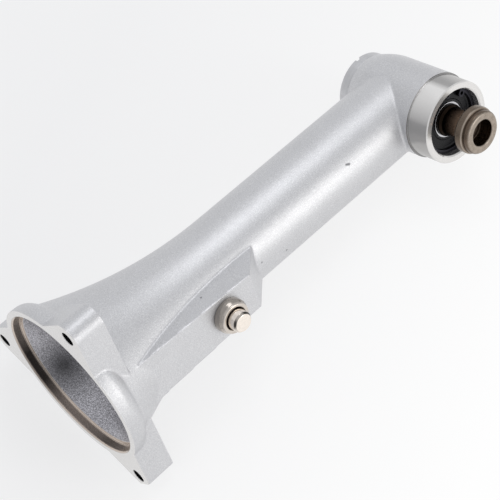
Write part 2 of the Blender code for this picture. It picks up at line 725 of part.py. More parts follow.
def make_spindle(output):
    """The spindle from its rear journal to the grooved nose, with a socket and a threaded bore in front."""
    journal = SMALL_BEARING["bore"]
    journal_end = -REAR_BEARING_BACK + SMALL_BEARING["width"] + END_GAP
    ring = gear_ring_start()
    groove = SPINDLE_RADIUS - RING_GROOVE_DEPTH
    shoulder = front_ring_start()
    thread_floor = NOSE_FRONT - SOCKET_DEPTH - THREAD_DEPTH
    profile = [
        (0, -REAR_BEARING_BACK - MM),
        (journal, -REAR_BEARING_BACK - MM),
        (journal, journal_end),
        (SPINDLE_MIDDLE_RADIUS, journal_end),
        (SPINDLE_MIDDLE_RADIUS, ring - END_GAP - MM / 2),
        (SPINDLE_RADIUS, ring - END_GAP - MM / 2),
        (SPINDLE_RADIUS, ring - END_GAP),
        (groove, ring - END_GAP),
        (groove, ring + RING_THICKNESS + END_GAP),
        (SPINDLE_RADIUS, ring + RING_THICKNESS + END_GAP),
        (SPINDLE_RADIUS, shoulder),
        (SPINDLE_SHOULDER_RADIUS, shoulder),
        (SPINDLE_SHOULDER_RADIUS, shoulder + MM),
        (SPINDLE_RADIUS, shoulder + 1.4 * MM),
        (SPINDLE_NECK_RADIUS, NOSE_BACK - 2.2 * MM),
        (SPINDLE_NECK_RADIUS + 0.8 * MM, NOSE_BACK - 0.5 * MM),
        (NOSE_RADIUS - 1.6 * MM, NOSE_BACK),
        (NOSE_RADIUS - 0.4 * MM, NOSE_BACK),
        (NOSE_RADIUS, NOSE_BACK + 0.4 * MM),
        (NOSE_RADIUS, NOSE_GROOVE),
        (NOSE_RADIUS - 0.7 * MM, NOSE_GROOVE + 0.2 * MM),
        (NOSE_RADIUS - 0.7 * MM, NOSE_GROOVE + 0.6 * MM),
        (NOSE_RADIUS - 0.3 * MM, NOSE_GROOVE + 0.8 * MM),
        (NOSE_RADIUS - 0.5 * MM, NOSE_FRONT - 1.4 * MM),
        (NOSE_FACE_RADIUS, NOSE_FRONT),
        (SOCKET_RADIUS + 0.3 * MM, NOSE_FRONT),
        (SOCKET_RADIUS, NOSE_FRONT - 0.3 * MM),
        (SOCKET_RADIUS, NOSE_FRONT - SOCKET_DEPTH),
        (THREAD_RADIUS, NOSE_FRONT - SOCKET_DEPTH),
        (THREAD_RADIUS, thread_floor),
        (0, thread_floor - THREAD_RADIUS / 2),
    ]
    spindle = turned("output_spindle", profile, output, DARK_STEEL, SPINDLE_FACETS)
    size = (KEY_HEIGHT + 2 * SEAT_GAP, KEY_WIDTH + 2 * SEAT_GAP, KEY_LENGTH + 2 * END_GAP)
    middle = (-SPINDLE_RADIUS, 0, KEY_START + KEY_LENGTH / 2)
    cut(spindle, block("spindle_keyway", size, middle, output, DARK_STEEL))
    return spindle


def make_rear_cap(output):
    """The screwed cap behind the rear bearing, with two notches in its rim for a spanner."""
    back = -HEAD_BACK - END_GAP - CAP_LENGTH
    flange = -HEAD_BACK - END_GAP
    spigot_end = -REAR_BEARING_BACK - 2 * END_GAP
    hollow = CAP_HOLLOW_RADIUS
    profile = [
        (0, back),
        (CAP_RADIUS - CAP_CHAMFER, back),
        (CAP_RADIUS, back + CAP_CHAMFER),
        (CAP_RADIUS, flange),
        (CAP_SPIGOT_RADIUS, flange),
        (CAP_SPIGOT_RADIUS, spigot_end),
        (hollow, spigot_end),
        (hollow, back + CAP_WALL),
        (0, back + CAP_WALL),
    ]
    cap = turned("rear_cap", profile, output, CAST_ALUMINIUM, BORE_FACETS)
    for side in range(2):
        size = (2 * CAP_NOTCH_DEPTH, CAP_NOTCH_WIDTH, 2 * CAP_NOTCH_DEPTH)
        turn = CAP_NOTCH_ANGLE + math.pi * side
        cut(cap, block(f"cap_notch_{side + 1}", size, (CAP_RADIUS, 0, back), output, CAST_ALUMINIUM, turn))
    middle = CAP_SPIGOT_RADIUS + SEAT_GAP + CAP_SEAL_THICKNESS / 2
    height = -HEAD_BACK + CAP_SEAL_THICKNESS / 2
    section = arc((middle, height), CAP_SEAL_THICKNESS / 2, 0, FULL_TURN * 3 / 4, 3)
    turned("cap_seal_ring", section, output, BLACK_RUBBER, BORE_FACETS)
    return cap


def hub_low():
    """The hub's lower end, which rests on the shaft's shoulder and leaves room there for its cross pin."""
    return LOCK_HEIGHT - HUB_LENGTH / 2 - 2 * CROSS_PIN_RADIUS


def cross_pin_heights():
    """Heights of the three pins that hold the lock hub and the joint sleeve on the shafts."""
    hub_pin = LOCK_HEIGHT - HUB_LENGTH / 2 + CROSS_PIN_RADIUS
    lower = (pinion_bearing_start() - SLEEVE_LENGTH + shaft_end()) / 2
    upper = (shaft_end() + pinion_bearing_start()) / 2
    return {"hub_pin": hub_pin, "lower_sleeve_pin": lower, "upper_sleeve_pin": upper}


def drill_for_pin(piece, name, height, axis):
    places = [((0, 0, height), (0, 1, 0))]
    drill = pegs(name, CROSS_PIN_RADIUS + SEAT_GAP, 3 * DOG_RADIUS, places, axis, GEAR_STEEL)
    cut(piece, drill)


def make_drive_shaft(drive):
    seat = LARGE_BEARING["bore"]
    ring = shaft_ring_start()
    shoulder = SHAFT_BEARING_HEIGHT + LARGE_BEARING["width"] + END_GAP
    dog_end = DOG_START + DOG_LENGTH
    profile = [
        (0, SHAFT_START),
        (SHAFT_END_RADIUS, SHAFT_START),
        (SHAFT_END_RADIUS, dog_end + END_GAP),
        (seat, dog_end + END_GAP),
        (seat, ring - END_GAP),
        (seat - RING_GROOVE_DEPTH, ring - END_GAP),
        (seat - RING_GROOVE_DEPTH, ring + RING_THICKNESS + END_GAP),
        (seat, ring + RING_THICKNESS + END_GAP),
        (seat, shoulder),
        (SHAFT_SHOULDER_RADIUS, shoulder),
        (SHAFT_SHOULDER_RADIUS, hub_low() - END_GAP),
        (SHAFT_RADIUS, hub_low() - END_GAP),
        (SHAFT_RADIUS, shaft_end()),
        (0, shaft_end()),
    ]
    shaft = turned("drive_shaft", profile, drive, GEAR_STEEL)
    heights = cross_pin_heights()
    for pin in ("hub_pin", "lower_sleeve_pin"):
        drill_for_pin(shaft, f"shaft_drill_{pin}", heights[pin], drive)
    drill_for_pin(shaft, "shaft_drill_dog", DOG_START + DOG_LENGTH * 0.72, drive)
    return shaft


def make_drive_dog(drive):
    """The jaw coupling that the motor turns: a sleeve with three slots across its face."""
    bore = SHAFT_END_RADIUS + SEAT_GAP
    low = DOG_START
    high = DOG_START + DOG_LENGTH
    chamfer = 0.8 * MM
    profile = [
        (bore, low),
        (DOG_RADIUS - chamfer, low),
        (DOG_RADIUS, low + chamfer),
        (DOG_RADIUS, high - chamfer),
        (DOG_RADIUS - chamfer, high),
        (bore, high),
    ]
    dog = turned("drive_dog", profile, drive, GEAR_STEEL)
    for slot in range(3):
        size = (DOG_RADIUS, DOG_SLOT_WIDTH, 2 * DOG_SLOT_DEPTH)
        centre = (DOG_RADIUS * 0.95, 0, low)
        cut(dog, block(f"dog_slot_{slot + 1}", size, centre, drive, GEAR_STEEL, FULL_TURN * slot / 3))
    height = DOG_START + DOG_LENGTH * 0.72
    drill_for_pin(dog, "dog_drill", height, drive)
    places = [((0, 0, height), (0, 1, 0))]
    pegs("dog_pin", CROSS_PIN_RADIUS, 2 * DOG_RADIUS - MM, places, drive, SPRING_STEEL)
    return dog


def make_sleeve(drive):
    """The sleeve that joins the drive shaft to the pinion's shank, with a pin through each."""
    high = pinion_bearing_start() - END_GAP
    low = high - SLEEVE_LENGTH
    split = shaft_end() + END_GAP
    profile = [
        (SHAFT_RADIUS + SEAT_GAP, low),
        (SLEEVE_RADIUS, low),
        (SLEEVE_RADIUS, high - 2.5 * MM),
        (SLEEVE_RADIUS - 1.4 * MM, high - 2 * MM),
        (SLEEVE_RADIUS - 1.4 * MM, high),
        (SMALL_BEARING["bore"] + SEAT_GAP, high),
        (SMALL_BEARING["bore"] + SEAT_GAP, split),
        (SHAFT_RADIUS + SEAT_GAP, split),
    ]
    sleeve = turned("shaft_sleeve", profile, drive, GEAR_STEEL)
    heights = cross_pin_heights()
    for pin in ("lower_sleeve_pin", "upper_sleeve_pin"):
        drill_for_pin(sleeve, f"sleeve_drill_{pin}", heights[pin], drive)
        places = [((0, 0, heights[pin]), (0, 1, 0))]
        pegs(pin, CROSS_PIN_RADIUS, 2 * SLEEVE_RADIUS - MM, places, drive, SPRING_STEEL)
    return sleeve


def make_lock_hub(drive):
    """The hub that the lock pin enters, with four holes a quarter turn apart."""
    low = hub_low()
    high = LOCK_HEIGHT + HUB_LENGTH / 2
    bore = SHAFT_RADIUS + SEAT_GAP
    chamfer = 0.8 * MM
    profile = [
        (bore, low),
        (HUB_RADIUS - chamfer, low),
        (HUB_RADIUS, low + chamfer),
        (HUB_RADIUS, high - chamfer),
        (HUB_RADIUS - chamfer, high),
        (bore, high),
    ]
    hub = turned("lock_hub", profile, drive, GEAR_STEEL)
    for direction in ((1, 0, 0), (0, 1, 0)):
        places = [((0, 0, LOCK_HEIGHT), direction)]
        name = "hub_holes_x" if direction[0] else "hub_holes_y"
        cut(hub, pegs(name, HUB_HOLE_RADIUS, 3 * HUB_RADIUS, places, drive, GEAR_STEEL))
    height = cross_pin_heights()["hub_pin"]
    drill_for_pin(hub, "hub_drill", height, drive)
    places = [((0, 0, height), (0, 1, 0))]
    pegs("hub_pin", CROSS_PIN_RADIUS, 2 * HUB_RADIUS - MM, places, drive, SPRING_STEEL)
    return hub


def button_front():
    """The button stands out by its travel, so that it is flush with the bush when it is pressed."""
    return BOSS_FACE + BUSH_STAND + LOCK_TRAVEL


def button_back():
    return BOSS_FACE - BUSH_INSERT - END_GAP - BUTTON_FLANGE_LENGTH


def make_lock_bush(lock):
    """The screwed bush that guides the button and keeps it in, with a wider collar outside the boss."""
    seat = BOSS_FACE + END_GAP
    front = BOSS_FACE + BUSH_STAND
    bore = BUTTON_RADIUS + RUN_GAP
    insert = BOSS_POCKET_RADIUS - SEAT_GAP
    profile = [
        (bore, BOSS_FACE - BUSH_INSERT),
        (insert, BOSS_FACE - BUSH_INSERT),
        (insert, seat),
        (BUSH_RADIUS, seat),
        (BUSH_RADIUS, seat + 2.4 * MM),
        (BUSH_LIP_RADIUS, front - 0.5 * MM),
        (BUSH_LIP_RADIUS - 0.4 * MM, front),
        (bore + 0.6 * MM, front),
        (bore, front - 0.6 * MM),
    ]
    return turned("lock_bush", profile, lock, NICKEL, BUTTON_FACETS)


def make_lock_button(lock):
    """The button is a cup with a flange that stops behind the bush. The pin is fixed in its end."""
    back = button_back()
    front = button_front()
    hollow = BUTTON_RADIUS - BUTTON_WALL
    floor = front - BUTTON_END
    pin_hole = LOCK_PIN_RADIUS + SEAT_GAP
    profile = [
        (0, front),
        (BUTTON_RADIUS - BUTTON_CHAMFER, front),
        (BUTTON_RADIUS, front - BUTTON_CHAMFER),
        (BUTTON_RADIUS, back + BUTTON_FLANGE_LENGTH),
        (BUTTON_FLANGE_RADIUS, back + BUTTON_FLANGE_LENGTH),
        (BUTTON_FLANGE_RADIUS, back),
        (hollow, back),
        (hollow, floor),
        (pin_hole, floor),
        (pin_hole, front - BUTTON_END / 3),
        (0, front - BUTTON_END / 3),
    ]
    turned("lock_button", profile, lock, NICKEL, BUTTON_FACETS)
    point = LOCK_PIN_RADIUS * 0.25
    pin = [
        (0, LOCK_PIN_TIP),
        (LOCK_PIN_RADIUS - point, LOCK_PIN_TIP),
        (LOCK_PIN_RADIUS, LOCK_PIN_TIP + point),
        (LOCK_PIN_RADIUS, front - BUTTON_END / 3 - END_GAP),
        (0, front - BUTTON_END / 3 - END_GAP),
    ]
    turned("lock_pin", pin, lock, BRIGHT_STEEL)


def make_lock_spring(lock):
    """A coil round the pin, from the pocket's floor to the inside of the button."""
    mean = (LOCK_PIN_RADIUS + BUTTON_RADIUS - BUTTON_WALL) / 2
    low = guide_start() + END_GAP + SPRING_WIRE_RADIUS
    high = button_front() - BUTTON_END - END_GAP - SPRING_WIRE_RADIUS
    per_turn = 10
    count = SPRING_TURNS * per_turn
    path = bpy.data.curves.new("lock_spring", "CURVE")
    path.dimensions = "3D"
    path.bevel_depth = SPRING_WIRE_RADIUS
    path.bevel_resolution = 0
    path.use_fill_caps = True
    coil = path.splines.new("POLY")
    coil.points.add(count)
    for step, point in enumerate(coil.points):
        turn = FULL_TURN * step / per_turn
        height = low + (high - low) * step / count
        point.co = (mean * math.cos(turn), mean * math.sin(turn), height, 1)
    spring = bpy.data.objects.new("lock_spring", path)
    bpy.context.scene.collection.objects.link(spring)
    spring.parent = lock
    path.materials.append(finish("lock_spring", SPRING_STEEL))


def resting_turn():
    """The turn that lays the head down on one ear, the rim and the edge of the rear cap.

    The downward direction is (cos, sin, nose_down) in the neck's frame. Each of the three supports reaches
    equally far along it, which fixes the roll about the neck and the fall of the nose.
    """
    cap_reach = HEAD_BACK + END_GAP + CAP_LENGTH - CAP_CHAMFER
    ear = math.radians(EAR_ANGLES[1])
    nose_down = 0.0
    roll = ear
    for _ in range(40):
        lean = (RIM_RADIUS - EAR_TIP_RADIUS - (EAR_DEPTH - RIM_DEPTH) * nose_down) / EAR_PITCH_RADIUS
        roll = ear + math.acos(lean)
        cap_low = CAP_RADIUS * math.hypot(math.sin(roll), nose_down)
        fall = RIM_RADIUS + cap_reach * math.cos(roll) - cap_low
        nose_down = fall / (HEAD_HEIGHT - RIM_DEPTH)
    up = -Vector((math.cos(roll), math.sin(roll), nose_down)).normalized()
    along = Vector((0, 0, 1))
    along = (along - along.dot(up) * up).normalized()
    return Matrix((along.cross(up), along, up)).to_4x4()


def stand_on_origin(root):
    """Moves the finished head so that the middle of its footprint is at the origin and it rests on Z = 0."""
    bpy.context.view_layer.update()
    graph = bpy.context.evaluated_depsgraph_get()
    corners = []
    for made in bpy.context.scene.objects:
        if made.type in ("MESH", "CURVE") and not made.hide_render:
            evaluated = made.evaluated_get(graph)
            mesh = evaluated.to_mesh()
            corners += [evaluated.matrix_world @ point.co for point in mesh.vertices]
            evaluated.to_mesh_clear()
    low = [min(corner[side] for corner in corners) for side in range(3)]
    high = [max(corner[side] for corner in corners) for side in range(3)]
    middle = Vector(((low[0] + high[0]) / 2, (low[1] + high[1]) / 2, low[2]))
    root.matrix_world = Matrix.Translation(-middle) @ root.matrix_world
    bpy.context.view_layer.update()


def main():
    clear_scene()
    root = axis_empty("angle_head", None, resting_turn())
    across = Matrix.Rotation(math.pi / 2, 4, "Y")
    to_head = Matrix.Translation((0, 0, HEAD_HEIGHT))
    casing_axis = axis_empty("casing_axis", root, Matrix.Identity(4))
    drive_axis = axis_empty("drive_axis", root, Matrix.Identity(4))
    apex_axis = axis_empty("apex_axis", root, to_head @ Matrix.Rotation(math.pi, 4, "X"))
    casing_output = axis_empty("casing_output_axis", root, to_head @ across)
    output_axis = axis_empty("output_axis", root, to_head @ across)
    lock_axis = axis_empty("lock_axis", root, Matrix.Translation((0, 0, LOCK_HEIGHT)) @ across)

    make_housing(casing_axis, casing_output, lock_axis)
    make_rear_cap(casing_output)
    large_seat = LARGE_BEARING["outside"] + SEAT_GAP
    small_seat = SMALL_BEARING["outside"] + SEAT_GAP
    retaining_ring("front_retaining_ring", large_seat, front_ring_start(), casing_output, True, math.radians(215))
    retaining_ring("shaft_bearing_ring", large_seat, shaft_ring_start(), casing_axis, True)
    retaining_ring("pinion_bearing_ring", small_seat, pinion_ring_start(), casing_axis, True)

    make_bearing("front_bearing", LARGE_BEARING, FRONT_BEARING_BACK, output_axis, BORE_FACETS, ("front", "back"))
    make_bearing("rear_bearing", SMALL_BEARING, -REAR_BEARING_BACK, output_axis, BORE_FACETS)
    make_bearing("shaft_bearing", LARGE_BEARING, SHAFT_BEARING_HEIGHT, drive_axis, HIDDEN_FACETS, ("back",))
    make_bearing("pinion_bearing", SMALL_BEARING, pinion_bearing_start(), drive_axis, HIDDEN_FACETS)

    make_spindle(output_axis)
    make_gear(output_axis)
    make_gear_key(output_axis)
    snap_ring("gear_snap_ring", SPINDLE_RADIUS, gear_ring_start(), output_axis)

    make_drive_shaft(drive_axis)
    make_drive_dog(drive_axis)
    make_sleeve(drive_axis)
    make_pinion(apex_axis, drive_axis)
    make_lock_hub(drive_axis)
    retaining_ring("shaft_retaining_ring", LARGE_BEARING["bore"], shaft_ring_start(), drive_axis, False)

    make_lock_bush(lock_axis)
    make_lock_button(lock_axis)
    make_lock_spring(lock_axis)
    stand_on_origin(root)


main()
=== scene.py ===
"""The looks of a long-necked angle head: cast housing, grooved spindle, front bearing, lock button and stage.

Every piece is shaped round one of three axes of the head: the neck, the output and the lock button.
"""

import json
import math
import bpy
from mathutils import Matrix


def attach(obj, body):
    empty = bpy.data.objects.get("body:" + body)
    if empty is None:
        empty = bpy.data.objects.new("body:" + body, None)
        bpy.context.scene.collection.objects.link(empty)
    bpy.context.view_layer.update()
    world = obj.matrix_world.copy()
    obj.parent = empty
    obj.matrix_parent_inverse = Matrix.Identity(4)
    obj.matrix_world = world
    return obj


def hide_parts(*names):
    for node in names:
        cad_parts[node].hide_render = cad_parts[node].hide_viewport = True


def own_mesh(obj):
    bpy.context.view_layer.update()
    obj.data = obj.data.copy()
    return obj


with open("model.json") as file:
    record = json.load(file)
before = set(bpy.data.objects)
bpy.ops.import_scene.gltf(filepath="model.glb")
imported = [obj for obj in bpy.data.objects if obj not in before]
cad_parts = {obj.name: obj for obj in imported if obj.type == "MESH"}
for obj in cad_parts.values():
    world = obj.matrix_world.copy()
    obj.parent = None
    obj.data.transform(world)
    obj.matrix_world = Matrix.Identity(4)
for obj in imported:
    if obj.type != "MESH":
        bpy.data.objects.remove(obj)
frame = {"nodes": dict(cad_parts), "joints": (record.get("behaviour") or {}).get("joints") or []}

from types import SimpleNamespace

import bmesh
import bpy
from bpy.props import FloatProperty, FloatVectorProperty, PointerProperty
from mathutils import Matrix, Vector

bl_info = {
    "name": "Angle head looks",
    "version": (1, 0, 0),
    "blender": (4, 5, 0),
    "location": "View3D > Sidebar > Angle head",
    "description": "Detailed pieces and finishes of a long-necked angle head",
    "category": "Object",
}

MM = 0.001
FULL_TURN = 2 * math.pi

# Sizes in millimetres that several pieces share
HEAD_HEIGHT = 184.0
LOCK_HEIGHT = 58.6
BEARING_SEAT = 14.05
BEARING_WIDTH = 8.0
FRONT_BEARING = 17.4
SHAFT_BEARING = 28.2
REAR_SHOULDER = -7.4
CAP_SEAT = -14.6
NECK_END = 150.0
RING_THICKNESS = 1.2
RING_GAP = 0.1
BUSH_INSERT = 4.4
POCKET_RADIUS = 6.05
POCKET_FLOOR = 15.3
BUTTON_HOLLOW = 2.2

# How far a cast form is drawn too long, before it is machined
SPARE = 3.0

# How fast the flare widens towards the flange, and how sharply the rim's shoulder falls
FLARE_POWER = 2.1
RIM_POWER = 3.1

# Turns of the three ears round the neck, in degrees
TRIMMED_EAR = 60
EAR_TURNS = (-60, TRIMMED_EAR, 180)

# Pits in the casting: place and radius in millimetres, and softness
CAST_PITS = (
    ((15.26, -7.49, 138.38), 0.45, 0.45),
    ((15.0, -7.98, 137.3), 0.4, 0.4),
    ((15.13, -7.73, 137.84), 0.45, 0.4),
    ((16.36, 4.6, 97.6), 0.4, 0.4),
    ((16.99, 0.3, 85.0), 0.35, 0.4),
    ((19.4, -9.02, 54.2), 0.4, 0.4),
    ((-4.83, -31.1, 8.2), 0.4, 0.4),
    ((24.0, 28.16, 13.2), 0.45, 0.4),
)

# A bearing seal's corners in millimetres: radius, depth below the ring's face, and any rounding
SEAL_CORNERS = (
    (7.64, 0.88),
    (7.64, 0.18, 0.12),
    (8.45, 0.12, 0.1),
    (8.80, 0.42, 0.12),
    (11.9, 0.30, 0.12),
    (12.2, 0.06, 0.1),
    (12.78, 0.06, 0.1),
    (12.78, 0.88),
)

# The backdrop's two colours, its least share of what is seen, and how much more of it the side with painted
# light has
BACKGROUND = ((0.90, 0.90, 0.905), (1.0, 1.0, 1.0))
BACKGROUND_SHARE = 0.62
PAINTED_LIGHT_SHARE = 0.33

# Softboxes in metres and watts: name, place, width, height, power and colour
SOFTBOXES = (
    ("right_softbox", (0.90, 0.45, 0.39), 0.26, 0.55, 1.12, (1.0, 0.985, 0.95)),
    ("side_softbox", (1.0, 0.30, 0.22), 1.2, 0.7, 2.1, (1.0, 0.99, 0.97)),
    ("left_softbox", (-0.85, 0.42, 0.42), 0.7, 0.6, 0.2, (0.97, 0.98, 1.0)),
    ("top_softbox", (-0.18, 0.40, 0.95), 0.50, 0.45, 1.5, (0.97, 0.98, 1.0)),
)
LIT_POINT = (0.0, 0.0, 0.03)
ROOM_COLOUR = (0.92, 0.93, 0.95, 1.0)
ROOM_STRENGTH = 0.74

# The camera in the head's own frame, in millimetres
CAMERA_RIGHT = (0.6541, 0.2774, 0.7037)
CAMERA_ABOVE = (-0.3472, -0.7164, 0.6052)
CAMERA_PLACE = (407.8, -381.1, -134.4)
LENS = 111.0

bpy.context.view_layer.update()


# The head's own frame


def head_frame():
    """X along the output, Z up the neck, from the middle of the motor flange's face."""
    joints = {joint["name"]: joint for joint in frame["joints"]}
    output = Vector(joints["spindle_spin"]["axis"]).normalized()
    neck = Vector(joints["drive_spin"]["axis"])
    neck = (neck - neck.dot(output) * output).normalized()
    home = Matrix((output, neck.cross(output), neck)).transposed().to_4x4()
    home.translation = Vector(joints["spindle_spin"]["pos_m"]) - HEAD_HEIGHT * MM * neck
    return home


def moved(x, y, z):
    """A shift given in millimetres."""
    return Matrix.Translation((x * MM, y * MM, z * MM))


def direction(degrees):
    """The unit vector at an angle round the Z axis."""
    turn = math.radians(degrees)
    return Vector((math.cos(turn), math.sin(turn), 0))


HOME = head_frame()
ACROSS = Matrix.Rotation(math.pi / 2, 4, "Y")
NECK_AXIS = Matrix.Identity(4)
OUTPUT_AXIS = moved(0, 0, HEAD_HEIGHT) @ ACROSS
LOCK_AXIS = moved(0, 0, LOCK_HEIGHT) @ ACROSS


# Sizes and colours


def size(label, millimetres, description):
    return FloatProperty(
        name=label, description=description, default=millimetres * MM, min=0.0, unit="LENGTH", precision=4
    )


def colour(label, value, description):
    return FloatVectorProperty(
        name=label, description=description, default=value, min=0.0, max=1.0, size=3, subtype="COLOR"
    )


def in_mm(group):
    """The sizes of a group in millimetres."""
    return SimpleNamespace(**{name: getattr(group, name) / MM for name in group.__annotations__})


class HousingSizes(bpy.types.PropertyGroup):
    mouth_radius: size("Mouth radius", 32.0, "Radius of the register for the motor")
    register_depth: size("Register depth", 3.6, "Depth of the register")
    ledge_radius: size("Ledge radius", 30.4, "Inner radius of the ledge behind the register")
    rim_radius: size("Rim radius", 35.0, "Outer radius of the round rim")
    rim_depth: size("Rim depth", 1.4, "Length of the straight part of the round rim")
    rim_back: size("Rim back", 8.8, "Height at which the rim's rounded shoulder meets the flare")
    ear_pitch: size("Ear pitch radius", 43.5, "Radius of the circle through the three screw holes")
    ear_tip: size("Ear tip radius", 6.0, "Radius of the ends of the ears")
    ear_trim: size("Ear trim", 2.0, "How much the end of the lower ear is trimmed flat")
    ear_depth: size("Ear depth", 12.5, "Length of the ears along the neck")
    ear_hole: size("Ear hole radius", 2.9, "Radius of the screw holes")
    cast_wall: size("Wall", 3.4, "Thickness of the cast wall")
    neck_radius: size("Neck radius", 17.0, "Outer radius of the neck")
    flare_length: size("Flare length", 82.0, "Height at which the flare ends")
    web_height: size("Bearing web height", 26.0, "Height of the web round the shaft bearing")
    head_radius: size("Head radius", 17.9, "Outer radius of the cross head")
    head_back: size("Head back", 17.3, "Distance from the neck axis to the back of the head")
    head_step: size("Head step", 19.3, "Distance from the neck axis to the collar")
    head_back_radius: size("Head back radius", 15.5, "Radius of the head where the cap meets it")
    head_round: size("Head rounding", 12.0, "Length over which the head's back is rounded")
    cap_radius: size("Cap radius", 15.2, "Outer radius of the rear cap")
    cap_length: size("Cap length", 4.6, "How far the rear cap stands out of the head")
    collar_radius: size("Collar radius", 17.2, "Radius of the machined collar")
    collar_front: size("Collar front", 29.9, "Distance from the neck axis to the collar's front")
    boss_face: size("Boss face", 26.4, "Distance from the neck axis to the face of the lock boss")
    boss_half_width: size("Boss half width", 10.4, "Half the width of the lock boss at the flange")
    boss_end_half_width: size("Boss end half width", 8.4, "Half the width of the lock boss at its upper end")
    cast_grain: size("Remesh size", 0.4, "Size of the faces that the cast surface is made of")


class SpindleSizes(bpy.types.PropertyGroup):
    nose_back: size("Nose back", 37.2, "Distance from the neck axis to the back of the nose")
    nose_front: size("Nose front", 43.9, "Distance from the neck axis to the nose's face")
    nose_radius: size("Nose radius", 9.8, "Radius of the nose's collar")
    nose_groove: size("Nose groove", 41.0, "Distance from the neck axis to the fine groove")
    neck_radius: size("Spindle neck radius", 5.65, "Radius of the spindle between bearing and nose")
    socket_radius: size("Socket radius", 5.5, "Radius of the socket in the nose")
    socket_depth: size("Socket depth", 6.4, "Depth of the socket in the nose")


class LockSizes(bpy.types.PropertyGroup):
    bush_radius: size("Bush radius", 7.0, "Radius of the bush's collar")
    lip_radius: size("Lip radius", 6.2, "Radius of the bush's front")
    bush_stand: size("Bush height", 4.6, "How far the bush stands out of the boss")
    button_radius: size("Button radius", 4.2, "Radius of the button")
    travel: size("Travel", 4.2, "How far the button stands out of the bush")


class Colours(bpy.types.PropertyGroup):
    cast: colour("Cast aluminium", (0.635, 0.635, 0.65), "Colour of the cast surface")
    raw: colour("Raw casting", (0.30, 0.295, 0.315), "Colour of the casting inside the bell")
    machined: colour("Machined aluminium", (0.79, 0.775, 0.76), "Colour of turned and faced aluminium")
    stained: colour("Stained register", (0.36, 0.31, 0.27), "Colour of the register for the motor")
    oxide: colour("Brown oxide", (0.115, 0.078, 0.055), "Colour of the spindle's neck")
    nose: colour("Worn oxide", (0.125, 0.096, 0.072), "Colour of the spindle's nose")
    worn: colour("Worn edges", (0.52, 0.45, 0.385), "Colour of the spindle's worn edges")
    nickel: colour("Nickel", (0.66, 0.605, 0.55), "Colour of the bush and the button")
    rubber: colour("Seal rubber", (0.009, 0.009, 0.011), "Colour of the bearing seals")
    steel: colour("Ground steel", (0.62, 0.62, 0.64), "Colour of the bearing rings")
    spring: colour("Spring steel", (0.035, 0.034, 0.042), "Colour of retaining rings")
    floor: colour("Floor", (0.965, 0.965, 0.97), "Colour of the floor")


# Shaping


def profile_line(shape, corners):
    """A line through (radius, height, rounding) corners in the XZ plane, closed if it starts off the axis."""
    points = [shape.verts.new((radius * MM, 0, height * MM)) for radius, height, *_ in corners]
    for pair in zip(points, points[1:]):
        shape.edges.new(pair)
    if corners[0][0] > 0:
        shape.edges.new((points[-1], points[0]))
    for rounding in sorted({corner[2] for corner in corners if len(corner) > 2}):
        bmesh.ops.bevel(
            shape,
            geom=[point for point, corner in zip(points, corners) if corner[2:] == (rounding,)],
            offset=rounding * MM,
            offset_type="OFFSET",
            segments=4,
            profile=0.5,
            affect="VERTICES",
            material=-1,
        )


def spun(shape, geometry, angle, steps, centre=(0, 0, 0), climb=0.0, merged=False):
    """Turns geometry round an upright axis, with a climb per step, and gives what it ends on."""
    return bmesh.ops.spin(
        shape,
        geom=geometry,
        cent=centre,
        axis=(0, 0, 1),
        dvec=(0, 0, climb),
        angle=angle,
        steps=steps,
        use_merge=merged,
    )["geom_last"]


def lathe(corners, steps=160):
    """A turned piece from its profile in millimetres."""
    shape = bmesh.new()
    profile_line(shape, corners)
    spun(shape, shape.verts[:] + shape.edges[:], FULL_TURN, steps, merged=True)
    bmesh.ops.remove_doubles(shape, verts=shape.verts, dist=0.0005 * MM)
    return shape


def raise_faces(shape, shift):
    """Gives flat faces a thickness."""
    raised = bmesh.ops.extrude_face_region(shape, geom=shape.faces[:])["geom"]
    corners = [item for item in raised if isinstance(item, bmesh.types.BMVert)]
    bmesh.ops.translate(shape, vec=shift, verts=corners)


def swing(shape, centre, start, angle, steps):
    """Points on an arc round a centre in the XY plane, from a start point. Gives the first and the last."""
    first = shape.verts.new(start)
    made = spun(shape, [first], angle, steps, centre)
    return first, [item for item in made if isinstance(item, bmesh.types.BMVert)][0]


def peg(shape, radius, length, matrix, segments=48):
    """Adds a round peg, given in millimetres, with the matrix at its middle."""
    bmesh.ops.create_cone(
        shape,
        cap_ends=True,
        segments=segments,
        radius1=radius * MM,
        radius2=radius * MM,
        depth=length * MM,
        matrix=matrix,
    )


def block(shape, sides, matrix):
    """Adds a block, given in millimetres, with the matrix at its middle."""
    stretch = Matrix.Diagonal((*(side * MM for side in sides), 1))
    bmesh.ops.create_cube(shape, size=1.0, matrix=matrix @ stretch)


def to_mesh_object(name, shape, matrix=Matrix.Identity(4)):
    bmesh.ops.recalc_face_normals(shape, faces=shape.faces)
    bmesh.ops.transform(shape, matrix=matrix, verts=shape.verts)
    mesh = bpy.data.meshes.new(name)
    shape.to_mesh(mesh)
    shape.free()
    made = bpy.data.objects.new(name, mesh)
    bpy.context.scene.collection.objects.link(made)
    return made


def combine(target, operation, others):
    """Adds or takes away several shapes in one Boolean step and applies it."""
    group = bpy.data.collections.new(f"{target.name}_parts")
    for other in others:
        group.objects.link(other)
    step = target.modifiers.new("Combine", "BOOLEAN")
    step.operation = operation
    step.solver = "EXACT"
    step.operand_type = "COLLECTION"
    step.collection = group
    apply_all(target)
    for other in others:
        bpy.data.objects.remove(other, do_unlink=True)
    bpy.data.collections.remove(group)


def apply_all(target):
    """Applies the modifiers of an object to its mesh."""
    graph = bpy.context.evaluated_depsgraph_get()
    graph.update()
    mesh = bpy.data.meshes.new_from_object(target.evaluated_get(graph))
    target.modifiers.clear()
    target.data = mesh


